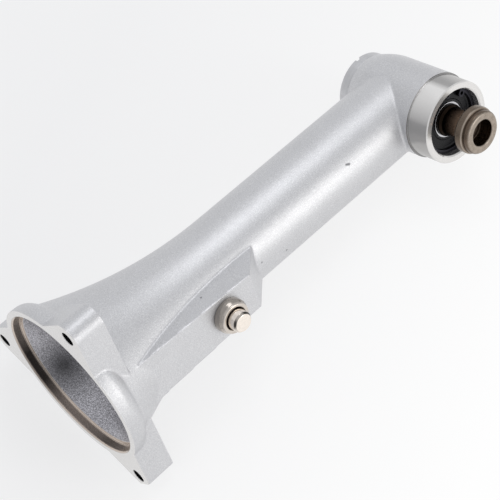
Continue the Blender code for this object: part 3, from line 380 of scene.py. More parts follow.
def soften_edges(target, width):
    """Rounds the sharp edges of a finished mesh by a width in millimetres."""
    soft = target.modifiers.new("Edges", "BEVEL")
    soft.width = width * MM
    soft.segments = 2
    soft.limit_method = "ANGLE"
    soft.angle_limit = math.radians(50)
    apply_all(target)


def dress(made, finish, body, node, angle=30):
    """Shades a finished piece, gives it its finish, ties it to its body and hides the node it stands for."""
    made.data.materials.clear()
    made.data.materials.append(finish)
    made.data.shade_smooth()
    made.data.set_sharp_from_angle(angle=math.radians(angle))
    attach(made, body)
    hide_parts(node)
    return made


def turned_piece(name, corners, axis, finish, body, node, steps=160):
    return dress(to_mesh_object(name, lathe(corners, steps), HOME @ axis), finish, body, node)


# Finishes


class Value:
    """A value inside a material. Arithmetic on it adds Math nodes, so masks read as formulas."""

    def __init__(self, finish, socket):
        self.finish = finish
        self.socket = socket

    def math(self, operation, *terms):
        return self.finish.add("ShaderNodeMath", {"operation": operation}, dict(enumerate(terms)))

    def __add__(self, other):
        return self.math("ADD", self, other)

    def __sub__(self, other):
        return self.math("SUBTRACT", self, other)

    def __rsub__(self, other):
        return self.math("SUBTRACT", other, self)

    def __mul__(self, other):
        return self.math("MULTIPLY", self, other)

    def __truediv__(self, other):
        return self.math("DIVIDE", self, other)

    def __pow__(self, other):
        return self.math("POWER", self, other)

    __radd__ = __add__
    __rmul__ = __mul__

    def above(self, limit, soft):
        """1 where the value is over the limit, 0 where it is under it."""
        return self.finish.add(
            "ShaderNodeMapRange",
            {"clamp": True},
            {"Value": self, "From Min": limit - soft / 2, "From Max": limit + soft / 2},
        )

    def below(self, limit, soft):
        return 1 - self.above(limit, soft)

    def within(self, low, high, soft):
        return self.above(low, soft) * self.below(high, soft)


class Finish:
    """A procedural material with one main shader, patterned in the head's own frame in millimetres."""

    def __init__(self, name, roughness, metallic, fixed=None):
        self.material = bpy.data.materials.new(name)
        self.material.use_nodes = True
        self.tree = self.material.node_tree
        self.shader = self.tree.nodes["Principled BSDF"]
        self.shader.inputs["Roughness"].default_value = roughness
        self.shader.inputs["Metallic"].default_value = metallic
        for label, value in (fixed or {}).items():
            self.shader.inputs[label].default_value = value

    def add(self, kind, settings=None, inputs=None, output=0):
        """Adds a node with its settings, feeds its inputs and returns one of its outputs."""
        node = self.tree.nodes.new(kind)
        for label, value in (settings or {}).items():
            setattr(node, label, value)
        for label, value in (inputs or {}).items():
            self.feed(node.inputs[label], value)
        return Value(self, node.outputs[output])

    def feed(self, socket, value):
        if isinstance(value, Value):
            self.tree.links.new(value.socket, socket)
        else:
            socket.default_value = value

    def surface(self, **links):
        for label, value in links.items():
            self.feed(self.shader.inputs[label.replace("_", " ").title()], value)
        return self.material

    def place(self, height=0.0):
        """Millimetres in the head's own frame, measured from a height on the neck."""
        inputs = {
            "Vector": self.add("ShaderNodeTexCoord", output=3),
            "Location": HOME @ Vector((0, 0, height * MM)),
            "Rotation": HOME.to_euler(),
            "Scale": (MM, MM, MM),
        }
        return self.add("ShaderNodeMapping", {"vector_type": "TEXTURE"}, inputs)

    def split(self, vector):
        first = self.add("ShaderNodeSeparateXYZ", None, {0: vector})
        return [Value(self, output) for output in first.socket.node.outputs]

    def join(self, x, y, z):
        return self.add("ShaderNodeCombineXYZ", None, {0: x, 1: y, 2: z})

    def noise(self, vector, scale, detail=2.0, roughness=0.5):
        inputs = {"Vector": vector, "Scale": scale, "Detail": detail, "Roughness": roughness}
        return self.add("ShaderNodeTexNoise", None, inputs)

    def cells(self, vector, scale):
        return self.add("ShaderNodeTexVoronoi", None, {"Vector": vector, "Scale": scale})

    def mix(self, factor, first, second):
        """A colour between two colours."""
        return self.add("ShaderNodeMix", {"data_type": "RGBA"}, {0: factor, 6: first, 7: second}, 2)

    def layered(self, shade, *layers):
        """A colour with others laid over it in turn, each as strong as its mask."""
        for mask, over in layers:
            shade = self.mix(mask, shade, over)
        return shade

    def bump(self, height, depth, under=None):
        """A relief of the given depth in millimetres, laid over another one."""
        inputs = {"Strength": 1.0, "Distance": depth * MM, "Height": height}
        if under is not None:
            inputs["Normal"] = under
        return self.add("ShaderNodeBump", None, inputs)

    def spot(self, vector, centre, radius, soft):
        """1 inside a small ball round a point, 0 outside."""
        inputs = {0: vector, 1: centre}
        return self.add("ShaderNodeVectorMath", {"operation": "DISTANCE"}, inputs, 1).below(radius, soft)


def strongest(first, *others):
    """The highest of several masks."""
    for other in others:
        first = first.math("MAXIMUM", first, other)
    return first


def opaque(shade):
    return (*shade, 1.0)


def scaled(shade, factor):
    return tuple(min(1.0, part * factor) for part in shade) + (1.0,)


def cast_finish(sizes, colours):
    """Tumbled sand casting with a raw inside and with faced, bored and turned areas, with painted shade
    inside the bell, at the collar's step and in the screw holes, and painted reflections and highlights on
    the collar and the register.
    """
    finish = Finish("cast_aluminium", 0.45, 0.75)
    here = finish.place()
    x, y, z = finish.split(here)
    neck_reach = (x * x + y * y) ** 0.5
    rise = z - HEAD_HEIGHT
    head_reach = (y * y + rise * rise) ** 0.5
    at_head = z.above(NECK_END, 2.0)

    along = strongest(1 - z / sizes.flare_length, 0.0)
    flare = along**FLARE_POWER * (sizes.rim_radius - sizes.neck_radius) + sizes.neck_radius
    depth = sizes.register_depth
    inner = (flare - neck_reach).above(sizes.cast_wall / 2, 0.5)
    raw = inner * z.within(depth + 0.65, sizes.web_height - 0.1, 0.1)
    face = z.below(0.12, 0.1)
    register = neck_reach.within(sizes.ledge_radius - 1.4, sizes.mouth_radius + 0.9, 0.1)
    register = register * z.within(0.12, depth + 0.6, 0.1)
    web = neck_reach.below(BEARING_SEAT + 0.65, 0.2) * z.within(sizes.web_height - 4.0, NECK_END, 0.2)
    collar = x.above(sizes.head_step - 0.06, 0.08) * at_head
    rear = x.below(-sizes.head_back + 0.1, 0.1) * at_head
    bored = head_reach.below(BEARING_SEAT + 0.55, 0.2) * at_head
    facing = strongest(face, register, web)
    turning = strongest(collar, rear, bored)
    worked = strongest(facing, turning)
    cast = 1 - worked

    grain = finish.noise(here, 2.6, 2.0, 0.6)
    pebbles = finish.cells(here, 2.2)
    lumps = finish.noise(here, 0.55)
    clouds = finish.noise(here, 0.09, 3.0)
    specks = finish.noise(here, 3.0, 1.0)
    neck_marks = finish.noise(finish.join(neck_reach, z * 0.6, 0.0), 5.0, 2.0, 0.7)
    head_marks = finish.noise(finish.join(x, head_reach * 0.6, 0.0), 5.0, 2.0, 0.7)
    marks = neck_marks * facing + head_marks * turning
    # Painted shade: a soft dark spot on the raw inside of the bell
    painted_shade_spot = finish.spot(here, (-24.5, 12.5, 10.0), 9.0, 15.0)
    # Painted reflection: a nearly black patch on the far side of the register, standing for the dark inside
    # of the bell mirrored in it
    painted_dark_reflection = finish.spot(here, (-30.5, 9.0, 2.5), 13.0, 13.0)
    # Painted shade: the screw holes in the ears are filled nearly black
    holes = ear_holes(finish, x, y, sizes) * z.within(0.2, sizes.ear_depth + 1.0, 0.1)
    pits = strongest(*(finish.spot(here, *pit) for pit in CAST_PITS))

    metal, stained = colours.machined, colours.stained
    # Painted reflection: the turned collar is lighter on its upper side and darker on the rest, with faint
    # turning marks mixed in
    upper = y.below(-12.0, 7.0) * rise.below(0.0, 3.0)
    turned = finish.mix(upper * 0.9 + marks * 0.1, scaled(metal, 0.54), scaled(metal, 1.1))
    # Painted highlight: the register is lighter along its front chamfer and its back edge
    edges = strongest(z.below(0.9, 0.3), z.above(depth - 0.1, 0.15))
    stain_and_painted_light = finish.layered(
        finish.mix(edges, scaled(stained, 1.0), scaled(stained, 1.9)),
        (painted_dark_reflection * 0.92 * (1 - edges * 0.4), scaled(stained, 0.05)),
    )
    bright = finish.layered(
        finish.mix(marks.above(0.5, 0.5), scaled(metal, 0.96), scaled(metal, 1.04)),
        (x.below(sizes.collar_front - 0.45, 0.1) * collar, turned),
        # Painted shade: a dark line in the corner at the foot of the head's step, behind the collar
        (x.below(sizes.head_step + 0.14, 0.06) * collar * 0.5, opaque((0.14, 0.14, 0.145))),
        (register, stain_and_painted_light),
    )
    # The raw inside of the bell is darker than the outer skin, partly its own colour and partly painted shade
    skin = finish.layered(
        finish.mix(specks.above(0.52, 0.2), scaled(colours.raw, 0.8), scaled(colours.raw, 2.4)),
        (painted_shade_spot * 0.9, scaled(colours.raw, 0.12)),
    )
    shade = finish.layered(
        finish.mix(clouds, scaled(colours.cast, 0.96), scaled(colours.cast, 1.04)),
        (grain.below(0.46, 0.2) * 0.14, scaled(colours.cast, 0.55)),
        (specks.above(0.60, 0.1) * 0.33, scaled(colours.cast, 1.6)),
        (specks.below(0.37, 0.08) * 0.2, scaled(colours.cast, 0.45)),
        (pits * 0.6, opaque((0.09, 0.09, 0.10))),
        (raw, skin),
        (holes, opaque((0.012, 0.012, 0.013))),
        (worked, bright),
    )

    cast_roughness = 0.40 + (grain - 0.5) * 0.3 + pits * 0.3 - raw * 0.1
    worked_roughness = 0.23 + (marks - 0.5) * 0.08
    roughness = cast_roughness * cast + worked_roughness * worked
    relief = (grain * 0.6 + pebbles * 0.35 + lumps * 0.4 - pits) * cast
    normal = finish.bump(marks * worked, 0.005, finish.bump(relief, 0.1))
    return finish.surface(base_color=shade, roughness=roughness, normal=normal)


def ear_holes(finish, x, y, sizes):
    """1 inside the three screw holes of the ears."""
    across = finish.join(x, y, 0.0)
    centres = [direction(turn) * sizes.ear_pitch for turn in EAR_TURNS]
    return strongest(*(finish.spot(across, centre, sizes.ear_hole + 0.1, 0.1) for centre in centres))


def turned_metal(name, shade, roughness, marks, crossing=None, metallic=1.0, wear=None):
    """Metal with fine rings round the neck, or round the axis that crosses the neck at a height."""
    finish = Finish(name, roughness, metallic)
    here = finish.place(crossing or 0.0)
    x, y, z = finish.split(here)
    far, reach = (z, (x * x + y * y) ** 0.5) if crossing is None else (x, (y * y + z * z) ** 0.5)
    rings = finish.noise(finish.join(far, reach, 0.0), 7.0, 3.0, 0.75)
    cloud = finish.noise(here, 0.35, 3.0, 0.55)
    base = finish.mix(rings.above(0.5, 0.5), scaled(shade, 1 - 0.3 * marks), scaled(shade, 1 + 0.25 * marks))
    base = finish.mix(cloud.above(0.5, 0.4), base, finish.mix(0.18, base, scaled(shade, 0.6)))
    if wear is not None:
        scratches = finish.noise(finish.join(far * 2.2, reach * 2.2, y * 0.12), 3.0, 2.0, 0.6)
        base = finish.mix(scratches.above(0.66, 0.12) * 0.55, base, opaque(wear))
    rough = roughness + (rings - 0.5) * 0.22 * marks + (cloud - 0.5) * 0.12
    return finish.surface(base_color=base, roughness=rough, normal=finish.bump(rings, 0.006))


def rubber_finish(colours):
    finish = Finish("seal_rubber", 0.3, 0.0, {"Specular IOR Level": 0.2})
    here = finish.place(HEAD_HEIGHT)
    grain = finish.noise(here, 4.0, 3.0, 0.6)
    dust = finish.noise(here, 0.6, 4.0, 0.6)
    base = finish.mix(dust.above(0.62, 0.2) * 0.2, opaque(colours.rubber), opaque((0.04, 0.04, 0.042)))
    rough = 0.27 + (dust - 0.5) * 0.3
    return finish.surface(base_color=base, roughness=rough, normal=finish.bump(grain, 0.01))


def oxide_finish(sizes, colours):
    """Brown oxide on a turned spindle, ground bright on the nose's edges, with painted shade on the neck
    towards the bearing.
    """
    finish = Finish("brown_oxide", 0.34, 1.0)
    here = finish.place(HEAD_HEIGHT)
    x, y, z = finish.split(here)
    reach = (y * y + z * z) ** 0.5
    rings = finish.noise(finish.join(x, reach, 0.0), 5.0, 3.0, 0.7)
    cloud = finish.noise(here, 0.5, 4.0, 0.6)
    specks = finish.noise(here, 3.5, 2.0, 0.6)

    back, front, groove, edge = sizes.nose_back, sizes.nose_front, sizes.nose_groove, sizes.nose_radius
    socket, floor = sizes.socket_radius, front - sizes.socket_depth
    nose = x.above(back - 0.6, 0.6)
    # Painted shade: the neck darkens to nearly black towards the bearing
    painted_shade_fade = x.above(back - 5.2, 8.0)
    back_edge = x.within(back - 0.2, back + 0.7, 0.3) * reach.above(edge - 0.7, 0.3)
    groove_edge = x.within(groove - 0.45, groove + 0.05, 0.12) * reach.above(edge - 0.5, 0.15)
    front_edge = x.within(groove + 0.65, groove + 1.0, 0.2) * reach.above(edge - 1.1, 0.15)
    face = x.above(front - 0.35, 0.3) * reach.above(socket - 0.1, 0.2)
    ground = strongest(back_edge, groove_edge, front_edge * 0.35, face)
    slot = x.within(groove + 0.05, groove + 0.8, 0.2) * reach.below(edge - 0.7, 0.2)
    inside = reach.below(socket - 0.05, 0.1) * x.above(floor - 20.5, 0.2)

    base = finish.layered(
        finish.mix(painted_shade_fade, scaled(colours.oxide, 0.13), scaled(colours.oxide, 3.4)),
        (nose, opaque(colours.nose)),
    )
    base = finish.layered(
        base,
        (cloud.above(0.5, 0.45) * 0.4 * painted_shade_fade, finish.mix(0.5, base, opaque((0.14, 0.095, 0.065)))),
        (rings.above(0.55, 0.3) * 0.3 * nose, opaque(colours.worn)),
        (ground * (0.55 + (cloud - 0.5) * 0.8), opaque(colours.worn)),
        (x.within(groove + 0.1, front - 0.6, 0.2) * 0.55, opaque(colours.oxide)),
        (slot * 0.6, scaled(colours.oxide, 0.4)),
        (inside * 0.7, scaled(colours.oxide, 0.5)),
    )
    rough = 0.30 + (cloud - 0.5) * 0.25 + (specks - 0.5) * 0.2 + inside * 0.1
    normal = finish.bump(specks, 0.008, finish.bump(rings, 0.012))
    return finish.surface(
        base_color=base, roughness=rough, metallic=1 - painted_shade_fade * (1 - nose) * 0.5, normal=normal
    )


def polished_plate(name, shade, roughness, reflection_band_from, reflection_band_heights, dark_within, dark_up_to, arcs=0.0):
    """Plating with faint rings, with a painted dark reflection on one side of a band off the axis and in two
    arcs of that band, and painted shade at its foot.
    """
    finish = Finish(name, roughness, 1.0)
    here = finish.place(LOCK_HEIGHT)
    x, y, z = finish.split(here)
    reach = (y * y + z * z) ** 0.5
    rings = finish.noise(finish.join(x, reach, 0.0), 6.0, 2.0, 0.6)
    haze = finish.noise(here, 0.8, 4.0, 0.65)
    # Painted reflection: a band off the axis is made darker towards -Y, and nearly black in two arcs of it
    painted_reflection_band = reach.above(reflection_band_from, 0.3) * x.within(*reflection_band_heights, 0.15)
    # Painted shade: dark at the foot, in the bush's bore and on the button next to the bush
    dark = reach.below(dark_within, 0.2) * x.below(dark_up_to, 0.5)
    sides = (z.below(-2.3, 1.2) + z.above(1.4, 1.2)) * y.below(-0.4, 1.4)
    base = finish.layered(
        finish.mix(haze.above(0.5, 0.5), scaled(shade, 0.92), scaled(shade, 1.06)),
        (painted_reflection_band * y.below(1.0, 5.0) * 0.5, scaled(shade, 0.14)),
        (dark * 0.9, scaled(shade, 0.06)),
        (painted_reflection_band * sides * arcs, scaled(shade, 0.03)),
    )
    rough = roughness + (haze - 0.5) * 0.14 + (rings - 0.5) * 0.08
    return finish.surface(base_color=base, roughness=rough, normal=finish.bump(rings, 0.003))


# Pieces


def flange_plate(sizes):
    """The three-eared flange: straight sides between round ear ends, with the lower ear's end trimmed."""
    shape = bmesh.new()
    pitch, tip = sizes.ear_pitch * MM, sizes.ear_tip * MM
    ends = []
    for turn in EAR_TURNS:
        centre = direction(turn) * pitch
        start = centre + direction(turn - 60) * tip
        ends.append(swing(shape, centre, start, FULL_TURN / 3, 24))
    for (_, last), (first, _) in zip(ends, ends[1:] + ends[:1]):
        shape.edges.new((last, first))
    bmesh.ops.contextual_create(shape, geom=shape.edges[:])
    raise_faces(shape, (0, 0, sizes.ear_depth * MM))
    outward = direction(TRIMMED_EAR)
    cut = bmesh.ops.bisect_plane(
        shape,
        geom=shape.verts[:] + shape.edges[:] + shape.faces[:],
        plane_co=outward * (pitch + tip - sizes.ear_trim * MM),
        plane_no=outward,
        clear_outer=True,
    )["geom_cut"]
    bmesh.ops.contextual_create(shape, geom=[item for item in cut if isinstance(item, bmesh.types.BMEdge)])
    return shape


def boss_block(sizes):
    """The raised flat for the lock button, narrower towards the head and ending in a slope."""
    start, end, root, face = 12, 73, 5, sizes.boss_face
    side = [(root, start), (face, start), (face, end), (root, end + face - root)]
    shape = bmesh.new()
    shape.faces.new([shape.verts.new((x * MM, -1, z * MM)) for x, z in side])
    raise_faces(shape, (0, 2, 0))
    slope = (sizes.boss_end_half_width - sizes.boss_half_width) / (end - start)
    for corner in shape.verts:
        corner.co.y *= (sizes.boss_half_width + slope * (corner.co.z / MM - start)) * MM
    return shape


def flare_radius(sizes, height):
    """The outer radius of the neck, which widens towards the rim."""
    along = max(0.0, 1 - height / sizes.flare_length)
    return sizes.neck_radius + (sizes.rim_radius - sizes.neck_radius) * along**FLARE_POWER


def neck_shell(sizes):
    """The rim with its rounded shoulder, the flare and the neck, a little too long at the mouth."""
    rim, start, back = sizes.rim_radius, sizes.rim_depth, sizes.rim_back
    fall = rim - flare_radius(sizes, back)
    corners = [(0, -SPARE), (rim, -SPARE)]
    for step in range(13):
        radius = rim - fall * (step / 12) ** RIM_POWER
        corners.append((radius, start + (back - start) * step / 12))
    for step in range(1, 25):
        height = back + (sizes.flare_length - back) * step / 24
        corners.append((flare_radius(sizes, height), height))
    return lathe(corners + [(sizes.neck_radius, HEAD_HEIGHT), (0, HEAD_HEIGHT)])


def head_shell(sizes):
    """The cross head with its rounded back, a little too long at the front."""
    back, low, long = sizes.head_back, sizes.head_back_radius, sizes.head_round
    front = 33.0
    corners = [(0, -back)]
    for step in range(13):
        bulge = (sizes.head_radius - low) * math.sin(math.pi / 2 * step / 12)
        corners.append((low + bulge, -back + long * step / 12))
    return lathe(corners + [(sizes.head_radius, front), (0, front)])


def mouth_cutter(sizes):
    """Everything inside the bell: chamfer, register, two ledges, cast taper, bearing seat and neck bore."""
    mouth, ledge, depth, web = sizes.mouth_radius, sizes.ledge_radius, sizes.register_depth, sizes.web_height
    seat_end = SHAFT_BEARING + BEARING_WIDTH + 2 * RING_GAP
    neck_bore, head_bore, end = 13.0, 9.6, 170.0
    corners = [
        (0, -6),
        (mouth + 0.6, -6),
        (mouth + 0.6, 0),
        (mouth, 0.6),
        (mouth, depth, 0.15),
        (ledge + 0.95, depth, 0.1),
        (ledge + 0.8, depth + 0.45, 0.08),
        (ledge + 0.25, depth + 0.45),
        (ledge, depth + 0.7),
    ]
    for step in range(2, 13):
        height = depth + (web - depth) * step / 12
        corners.append((min(ledge, flare_radius(sizes, height) - sizes.cast_wall), height))
    corners += [
        (BEARING_SEAT + 0.8, web),
        (BEARING_SEAT, web + 0.5),
        (BEARING_SEAT, seat_end),
        (neck_bore, seat_end),
        (neck_bore, NECK_END),
        (head_bore, NECK_END + 2),
        (head_bore, end),
        (0, end),
    ]
    return lathe(corners)


def head_cutter(sizes):
    """The head's bore from the cap thread at the back to the retaining ring at the front."""
    front, back = sizes.collar_front, sizes.head_back
    thread, rear_seat, shoulder, chamber = 12.5, 11.05, 9.6, 13.4
    seat_start, groove = FRONT_BEARING - RING_GAP, FRONT_BEARING + BEARING_WIDTH
    groove_end, groove_radius = groove + RING_THICKNESS + 2 * RING_GAP, BEARING_SEAT + 0.7
    corners = [
        (0, -back - SPARE),
        (thread, -back - SPARE),
        (thread, CAP_SEAT),
        (rear_seat, CAP_SEAT),
        (rear_seat, REAR_SHOULDER),
        (shoulder, REAR_SHOULDER),
        (chamber, -4),
        (chamber, seat_start),
        (BEARING_SEAT, seat_start),
        (BEARING_SEAT, groove),
        (groove_radius, groove),
        (groove_radius, groove_end),
        (BEARING_SEAT, groove_end),
        (BEARING_SEAT, front - 0.5),
        (BEARING_SEAT + 0.5, front),
        (BEARING_SEAT + 0.5, front + 6),
        (0, front + 6),
    ]
    return lathe(corners)


def collar_cutter(sizes):
    """What the lathe takes off outside the collar and in front of it."""
    edge, radius, front = sizes.head_step, sizes.collar_radius, sizes.collar_front
    corners = [
        (radius, edge, 0.25),
        (radius, front - 0.4),
        (radius - 0.4, front),
        (10, front),
        (10, front + 6),
        (25, front + 6),
        (25, edge),
    ]
    return lathe(corners)


def cast_housing(sizes, finish):
    """Shells fused by a remesh and softened as a casting is, then cut with the crisp machined forms."""
    shape = bmesh.new()
    for part, axis in (
        (neck_shell(sizes), NECK_AXIS),
        (head_shell(sizes), OUTPUT_AXIS),
        (flange_plate(sizes), moved(0, 0, -SPARE) @ Matrix.Diagonal((1, 1, 1.25, 1))),
        (boss_block(sizes), NECK_AXIS),
    ):
        bmesh.ops.transform(part, matrix=axis, verts=part.verts)
        bmesh.ops.recalc_face_normals(part, faces=part.faces)
        mesh = bpy.data.meshes.new("part")
        part.to_mesh(mesh)
        part.free()
        shape.from_mesh(mesh)
        bpy.data.meshes.remove(mesh)
    housing = to_mesh_object("cast_housing", shape)
    skin = housing.modifiers.new("Skin", "REMESH")
    skin.mode = "VOXEL"
    skin.voxel_size = sizes.cast_grain * MM
    skin.adaptivity = 0.0
    soft = housing.modifiers.new("Soften", "SMOOTH")
    soft.factor = 0.5
    soft.iterations = 3
    thin = housing.modifiers.new("Thin", "DECIMATE")
    thin.ratio = 0.33
    apply_all(housing)

    pin_hole = 2.2
    front, ears, pocket, rear = (bmesh.new() for _ in range(4))
    block(front, (200, 200, 200), moved(0, 0, -100))
    for turn in EAR_TURNS:
        x, y, _ = direction(turn) * sizes.ear_pitch
        peg(ears, sizes.ear_hole, 30, moved(x, y, 6))
    peg(pocket, POCKET_RADIUS, 14, LOCK_AXIS @ moved(0, 0, POCKET_FLOOR + 7))
    peg(pocket, pin_hole, 12, LOCK_AXIS @ moved(0, 0, 14))
    peg(rear, 25, 5, OUTPUT_AXIS @ moved(0, 0, -sizes.head_back - 2.5), 64)
    cutters = [
        to_mesh_object("cut_face", front),
        to_mesh_object("cut_mouth", mouth_cutter(sizes)),
        to_mesh_object("cut_head", head_cutter(sizes), OUTPUT_AXIS),
        to_mesh_object("cut_collar", collar_cutter(sizes), OUTPUT_AXIS),
        to_mesh_object("cut_ears", ears),
        to_mesh_object("cut_pocket", pocket),
        to_mesh_object("cut_rear", rear),
    ]
    combine(housing, "DIFFERENCE", cutters)
    housing.data.transform(HOME)
    return dress(housing, finish, "casing", "gear_housing", 35)


def rear_cap(sizes, finish):
    """The screwed cap, with two spanner notches in its rim."""
    flange, radius = -sizes.head_back - 0.1, sizes.cap_radius
    back = flange - sizes.cap_length
    thread, hollow, inside, notch = 12.3, 9.3, back + 2.3, (3.2, 2.4, 3.2)
    corners = [
        (0, back),
        (radius, back, 0.7),
        (radius, flange, 0.25),
        (thread, flange),
        (thread, CAP_SEAT - 0.1, 0.3),
        (hollow, CAP_SEAT - 0.1),
        (hollow, inside, 0.3),
        (0, inside),
    ]
    cap = to_mesh_object("rear_cap_turned", lathe(corners))
    notches = bmesh.new()
    for side in range(2):
        turn = Matrix.Rotation(math.pi / 2 + math.pi * side, 4, "Z")
        block(notches, notch, turn @ moved(radius, 0, back))
    combine(cap, "DIFFERENCE", [to_mesh_object("cut_notches", notches)])
    cap.data.transform(HOME @ OUTPUT_AXIS)
    return dress(cap, finish, "casing", "rear_cap")


def bearing_rings(label, axis, start, body_inner, steel, rubber, sides, steps):
    """Both rings of a 28 x 12 x 8 mm ball bearing, with a dished and lipped seal on each side given."""
    end, middle = start + BEARING_WIDTH, start + BEARING_WIDTH / 2
    bore, shoulder, inner_land, outer_land, recess, outside = 6.05, 7.5, 8.0, 12.0, 12.83, 14.0
    lip, half_track, track_depth = 0.98, 1.48, 0.38
    inner = [
        (bore, start, 0.35),
        (shoulder, start, 0.12),
        (shoulder, start + lip),
        (inner_land, start + lip),
        (inner_land, middle - half_track),
        (inner_land - track_depth, middle, 0.3),
        (inner_land, middle + half_track),
        (inner_land, end - lip),
        (shoulder, end - lip),
        (shoulder, end, 0.12),
        (bore, end, 0.35),
    ]
    front = [(recess, end, 0.1), (recess, end - lip), (outer_land, end - lip)]
    back = [(outer_land, start + lip), (recess, start + lip), (recess, start, 0.1)]
    outer = (
        [(outside, start, 0.35), (outside, end, 0.35)]
        + (front if "front" in sides else [(outer_land, end, 0.1)])
        + [(outer_land, middle + half_track), (outer_land + track_depth, middle, 0.3)]
        + [(outer_land, middle - half_track)]
        + (back if "back" in sides else [(outer_land, start, 0.1)])
    )
    turned_piece(f"{label}_inner_race", inner, axis, steel, body_inner, f"{label}_inner_ring", steps)
    turned_piece(f"{label}_outer_race", outer, axis, steel, "casing", f"{label}_outer_ring", steps)
    for side in sides:
        rim, inward = (end, -1) if side == "front" else (start, 1)
        seal = [(radius, rim + inward * depth, *rounding) for radius, depth, *rounding in SEAL_CORNERS]
        turned_piece(f"{label}_{side}_lip_seal", seal, axis, rubber, "casing", f"{label}_{side}_seal", steps)


def eyed_ring(name, seat, start, axis, inside, turn, finish, body, node):
    """A flat spring ring in a groove, with an eyed lug at each end. In a bore the lugs point to the axis."""
    groove_depth, width, lug_radius, eye_radius = 0.45, 1.9, 1.7, 0.8
    half_gap = math.radians(13)
    outward = 1 if inside else -1
    groove = seat + outward * groove_depth
    free = groove - outward * width
    lug = free - outward * lug_radius / 2
    lug_turn = half_gap + math.asin(lug_radius / lug)
    low, high, end = min(groove, free), max(groove, free), start + RING_THICKNESS
    band = bmesh.new()
    profile_line(band, [(low, start), (high, start), (high, end), (low, end)])
    bmesh.ops.contextual_create(band, geom=band.edges[:])
    bmesh.ops.rotate(band, cent=(0, 0, 0), matrix=Matrix.Rotation(turn + half_gap, 3, "Z"), verts=band.verts)
    spun(band, band.faces[:], FULL_TURN - 2 * half_gap, 96)
    ring = to_mesh_object(name, band)
    lugs, eyes = bmesh.new(), bmesh.new()
    for middle in (turn + lug_turn, turn - lug_turn):
        place = moved(lug * math.cos(middle), lug * math.sin(middle), start + RING_THICKNESS / 2)
        peg(lugs, lug_radius, RING_THICKNESS - 0.01, place, 40)
        peg(eyes, eye_radius, 4, place, 24)
    combine(ring, "UNION", [to_mesh_object("lugs", lugs)])
    combine(ring, "DIFFERENCE", [to_mesh_object("cut_eyes", eyes)])
    soften_edges(ring, 0.1)
    ring.data.transform(HOME @ axis)
    return dress(ring, finish, body, node)


def spindle(sizes, finish):
    """The spindle from its rear journal to the nose, with its neck, fine groove, socket and bore."""
    back, front, radius = sizes.nose_back, sizes.nose_front, sizes.nose_radius
    groove, neck, socket = sizes.nose_groove, sizes.neck_radius, sizes.socket_radius
    rear_end, gear_end, bearing_end = -15.5, 3.0, 25.5
    journal, gear_seat, bearing_seat, shoulder, bore = 4.0, 5.6, 6.0, 6.75, 3.4
    floor = front - sizes.socket_depth
    corners = [
        (0, rear_end),
        (journal, rear_end, 0.4),
        (journal, REAR_SHOULDER),
        (gear_seat, REAR_SHOULDER, 0.3),
        (gear_seat, gear_end),
        (bearing_seat, gear_end + 0.5),
        (bearing_seat, bearing_end),
        (shoulder, bearing_end, 0.15),
        (shoulder, bearing_end + 1.0, 0.25),
        (neck, bearing_end + 1.7, 0.3),
        (neck, back - 2.2, 0.6),
        (neck + 0.8, back - 0.5, 0.4),
        (radius - 1.6, back, 0.3),
        (radius - 0.5, back, 0.35),
        (radius, back + 0.6, 0.35),
        (radius, groove - 0.5, 0.28),
        (radius - 0.5, groove, 0.15),
        (radius - 1.0, groove + 0.15, 0.1),
        (radius - 1.0, groove + 0.75, 0.1),
        (radius - 0.75, groove + 0.95, 0.15),
        (radius - 0.85, front - 0.75, 0.2),
        (radius - 1.55, front, 0.25),
        (socket + 0.35, front, 0.12),
        (socket, front - 0.35, 0.1),
        (socket, floor, 0.2),
        (bore + 0.5, floor),
        (bore, floor - 0.5),
        (bore, floor - 20),
        (0, floor - 21.7),
    ]
    return turned_piece("nosed_spindle", corners, OUTPUT_AXIS, finish, "spindle_group", "output_spindle")


def button_top(housing, lock):
    """How far the button's face stands from the neck axis."""
    return housing.boss_face + lock.bush_stand + lock.travel


def lock_pieces(housing, lock, bush_finish, button_finish):
    """The screwed bush and the button that stands out of it."""
    face, collar, stem = housing.boss_face, lock.bush_radius, lock.button_radius
    seat, front, foot = face + 0.1, face + lock.bush_stand, face - BUSH_INSERT
    bore, insert = stem + 0.2, POCKET_RADIUS - 0.05
    bush = [
        (bore, foot),
        (insert, foot, 0.3),
        (insert, seat),
        (collar, seat, 0.25),
        (collar, seat + 2.4, 0.45),
        (lock.lip_radius + 0.05, front - 0.9, 0.3),
        (lock.lip_radius, front, 0.5),
        (bore + 0.5, front, 0.2),
        (bore, front - 0.5, 0.1),
    ]
    turned_piece("plated_bush", bush, LOCK_AXIS, bush_finish, "casing", "lock_bush", 96)
    top = button_top(housing, lock)
    plate, plate_back, plate_front = 5.5, foot - 1.4, foot - 0.1
    hollow, hollow_top, dimple = 3.3, top - BUTTON_HOLLOW, 2.05
    button = [
        (0, top),
        (stem - 0.75, top, 0.12),
        (stem, top - 0.85, 0.15),
        (stem, plate_front),
        (plate, plate_front, 0.2),
        (plate, plate_back, 0.2),
        (hollow, plate_back),
        (hollow, hollow_top, 0.2),
        (dimple, hollow_top),
        (dimple, top - 0.73),
        (0, top - 0.73),
    ]
    turned_piece("domed_button", button, LOCK_AXIS, button_finish, "lock_plunger", "lock_button", 96)


def return_spring(housing, lock, finish):
    """The coil round the lock pin, from the floor of its pocket up to the button's hollow."""
    thickness, coil_radius, turns, play = 0.28, 2.65, 6, 0.1
    low = POCKET_FLOOR + play + thickness
    high = button_top(housing, lock) - BUTTON_HOLLOW - play - thickness
    steps = turns * 36
    coil = bmesh.new()
    upright = moved(coil_radius, 0, low) @ Matrix.Rotation(math.pi / 2, 4, "X")
    bmesh.ops.create_circle(coil, cap_ends=True, segments=12, radius=thickness * MM, matrix=upright)
    spun(coil, coil.faces[:], FULL_TURN * turns, steps, climb=(high - low) * MM / steps)
    place = HOME @ LOCK_AXIS
    spring = dress(to_mesh_object("coiled_spring", coil, place), finish, "casing", "lock_spring", 40)
    travel, length = lock.travel, high - low + 2 * thickness
    1 - travel / length
    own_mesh(spring)


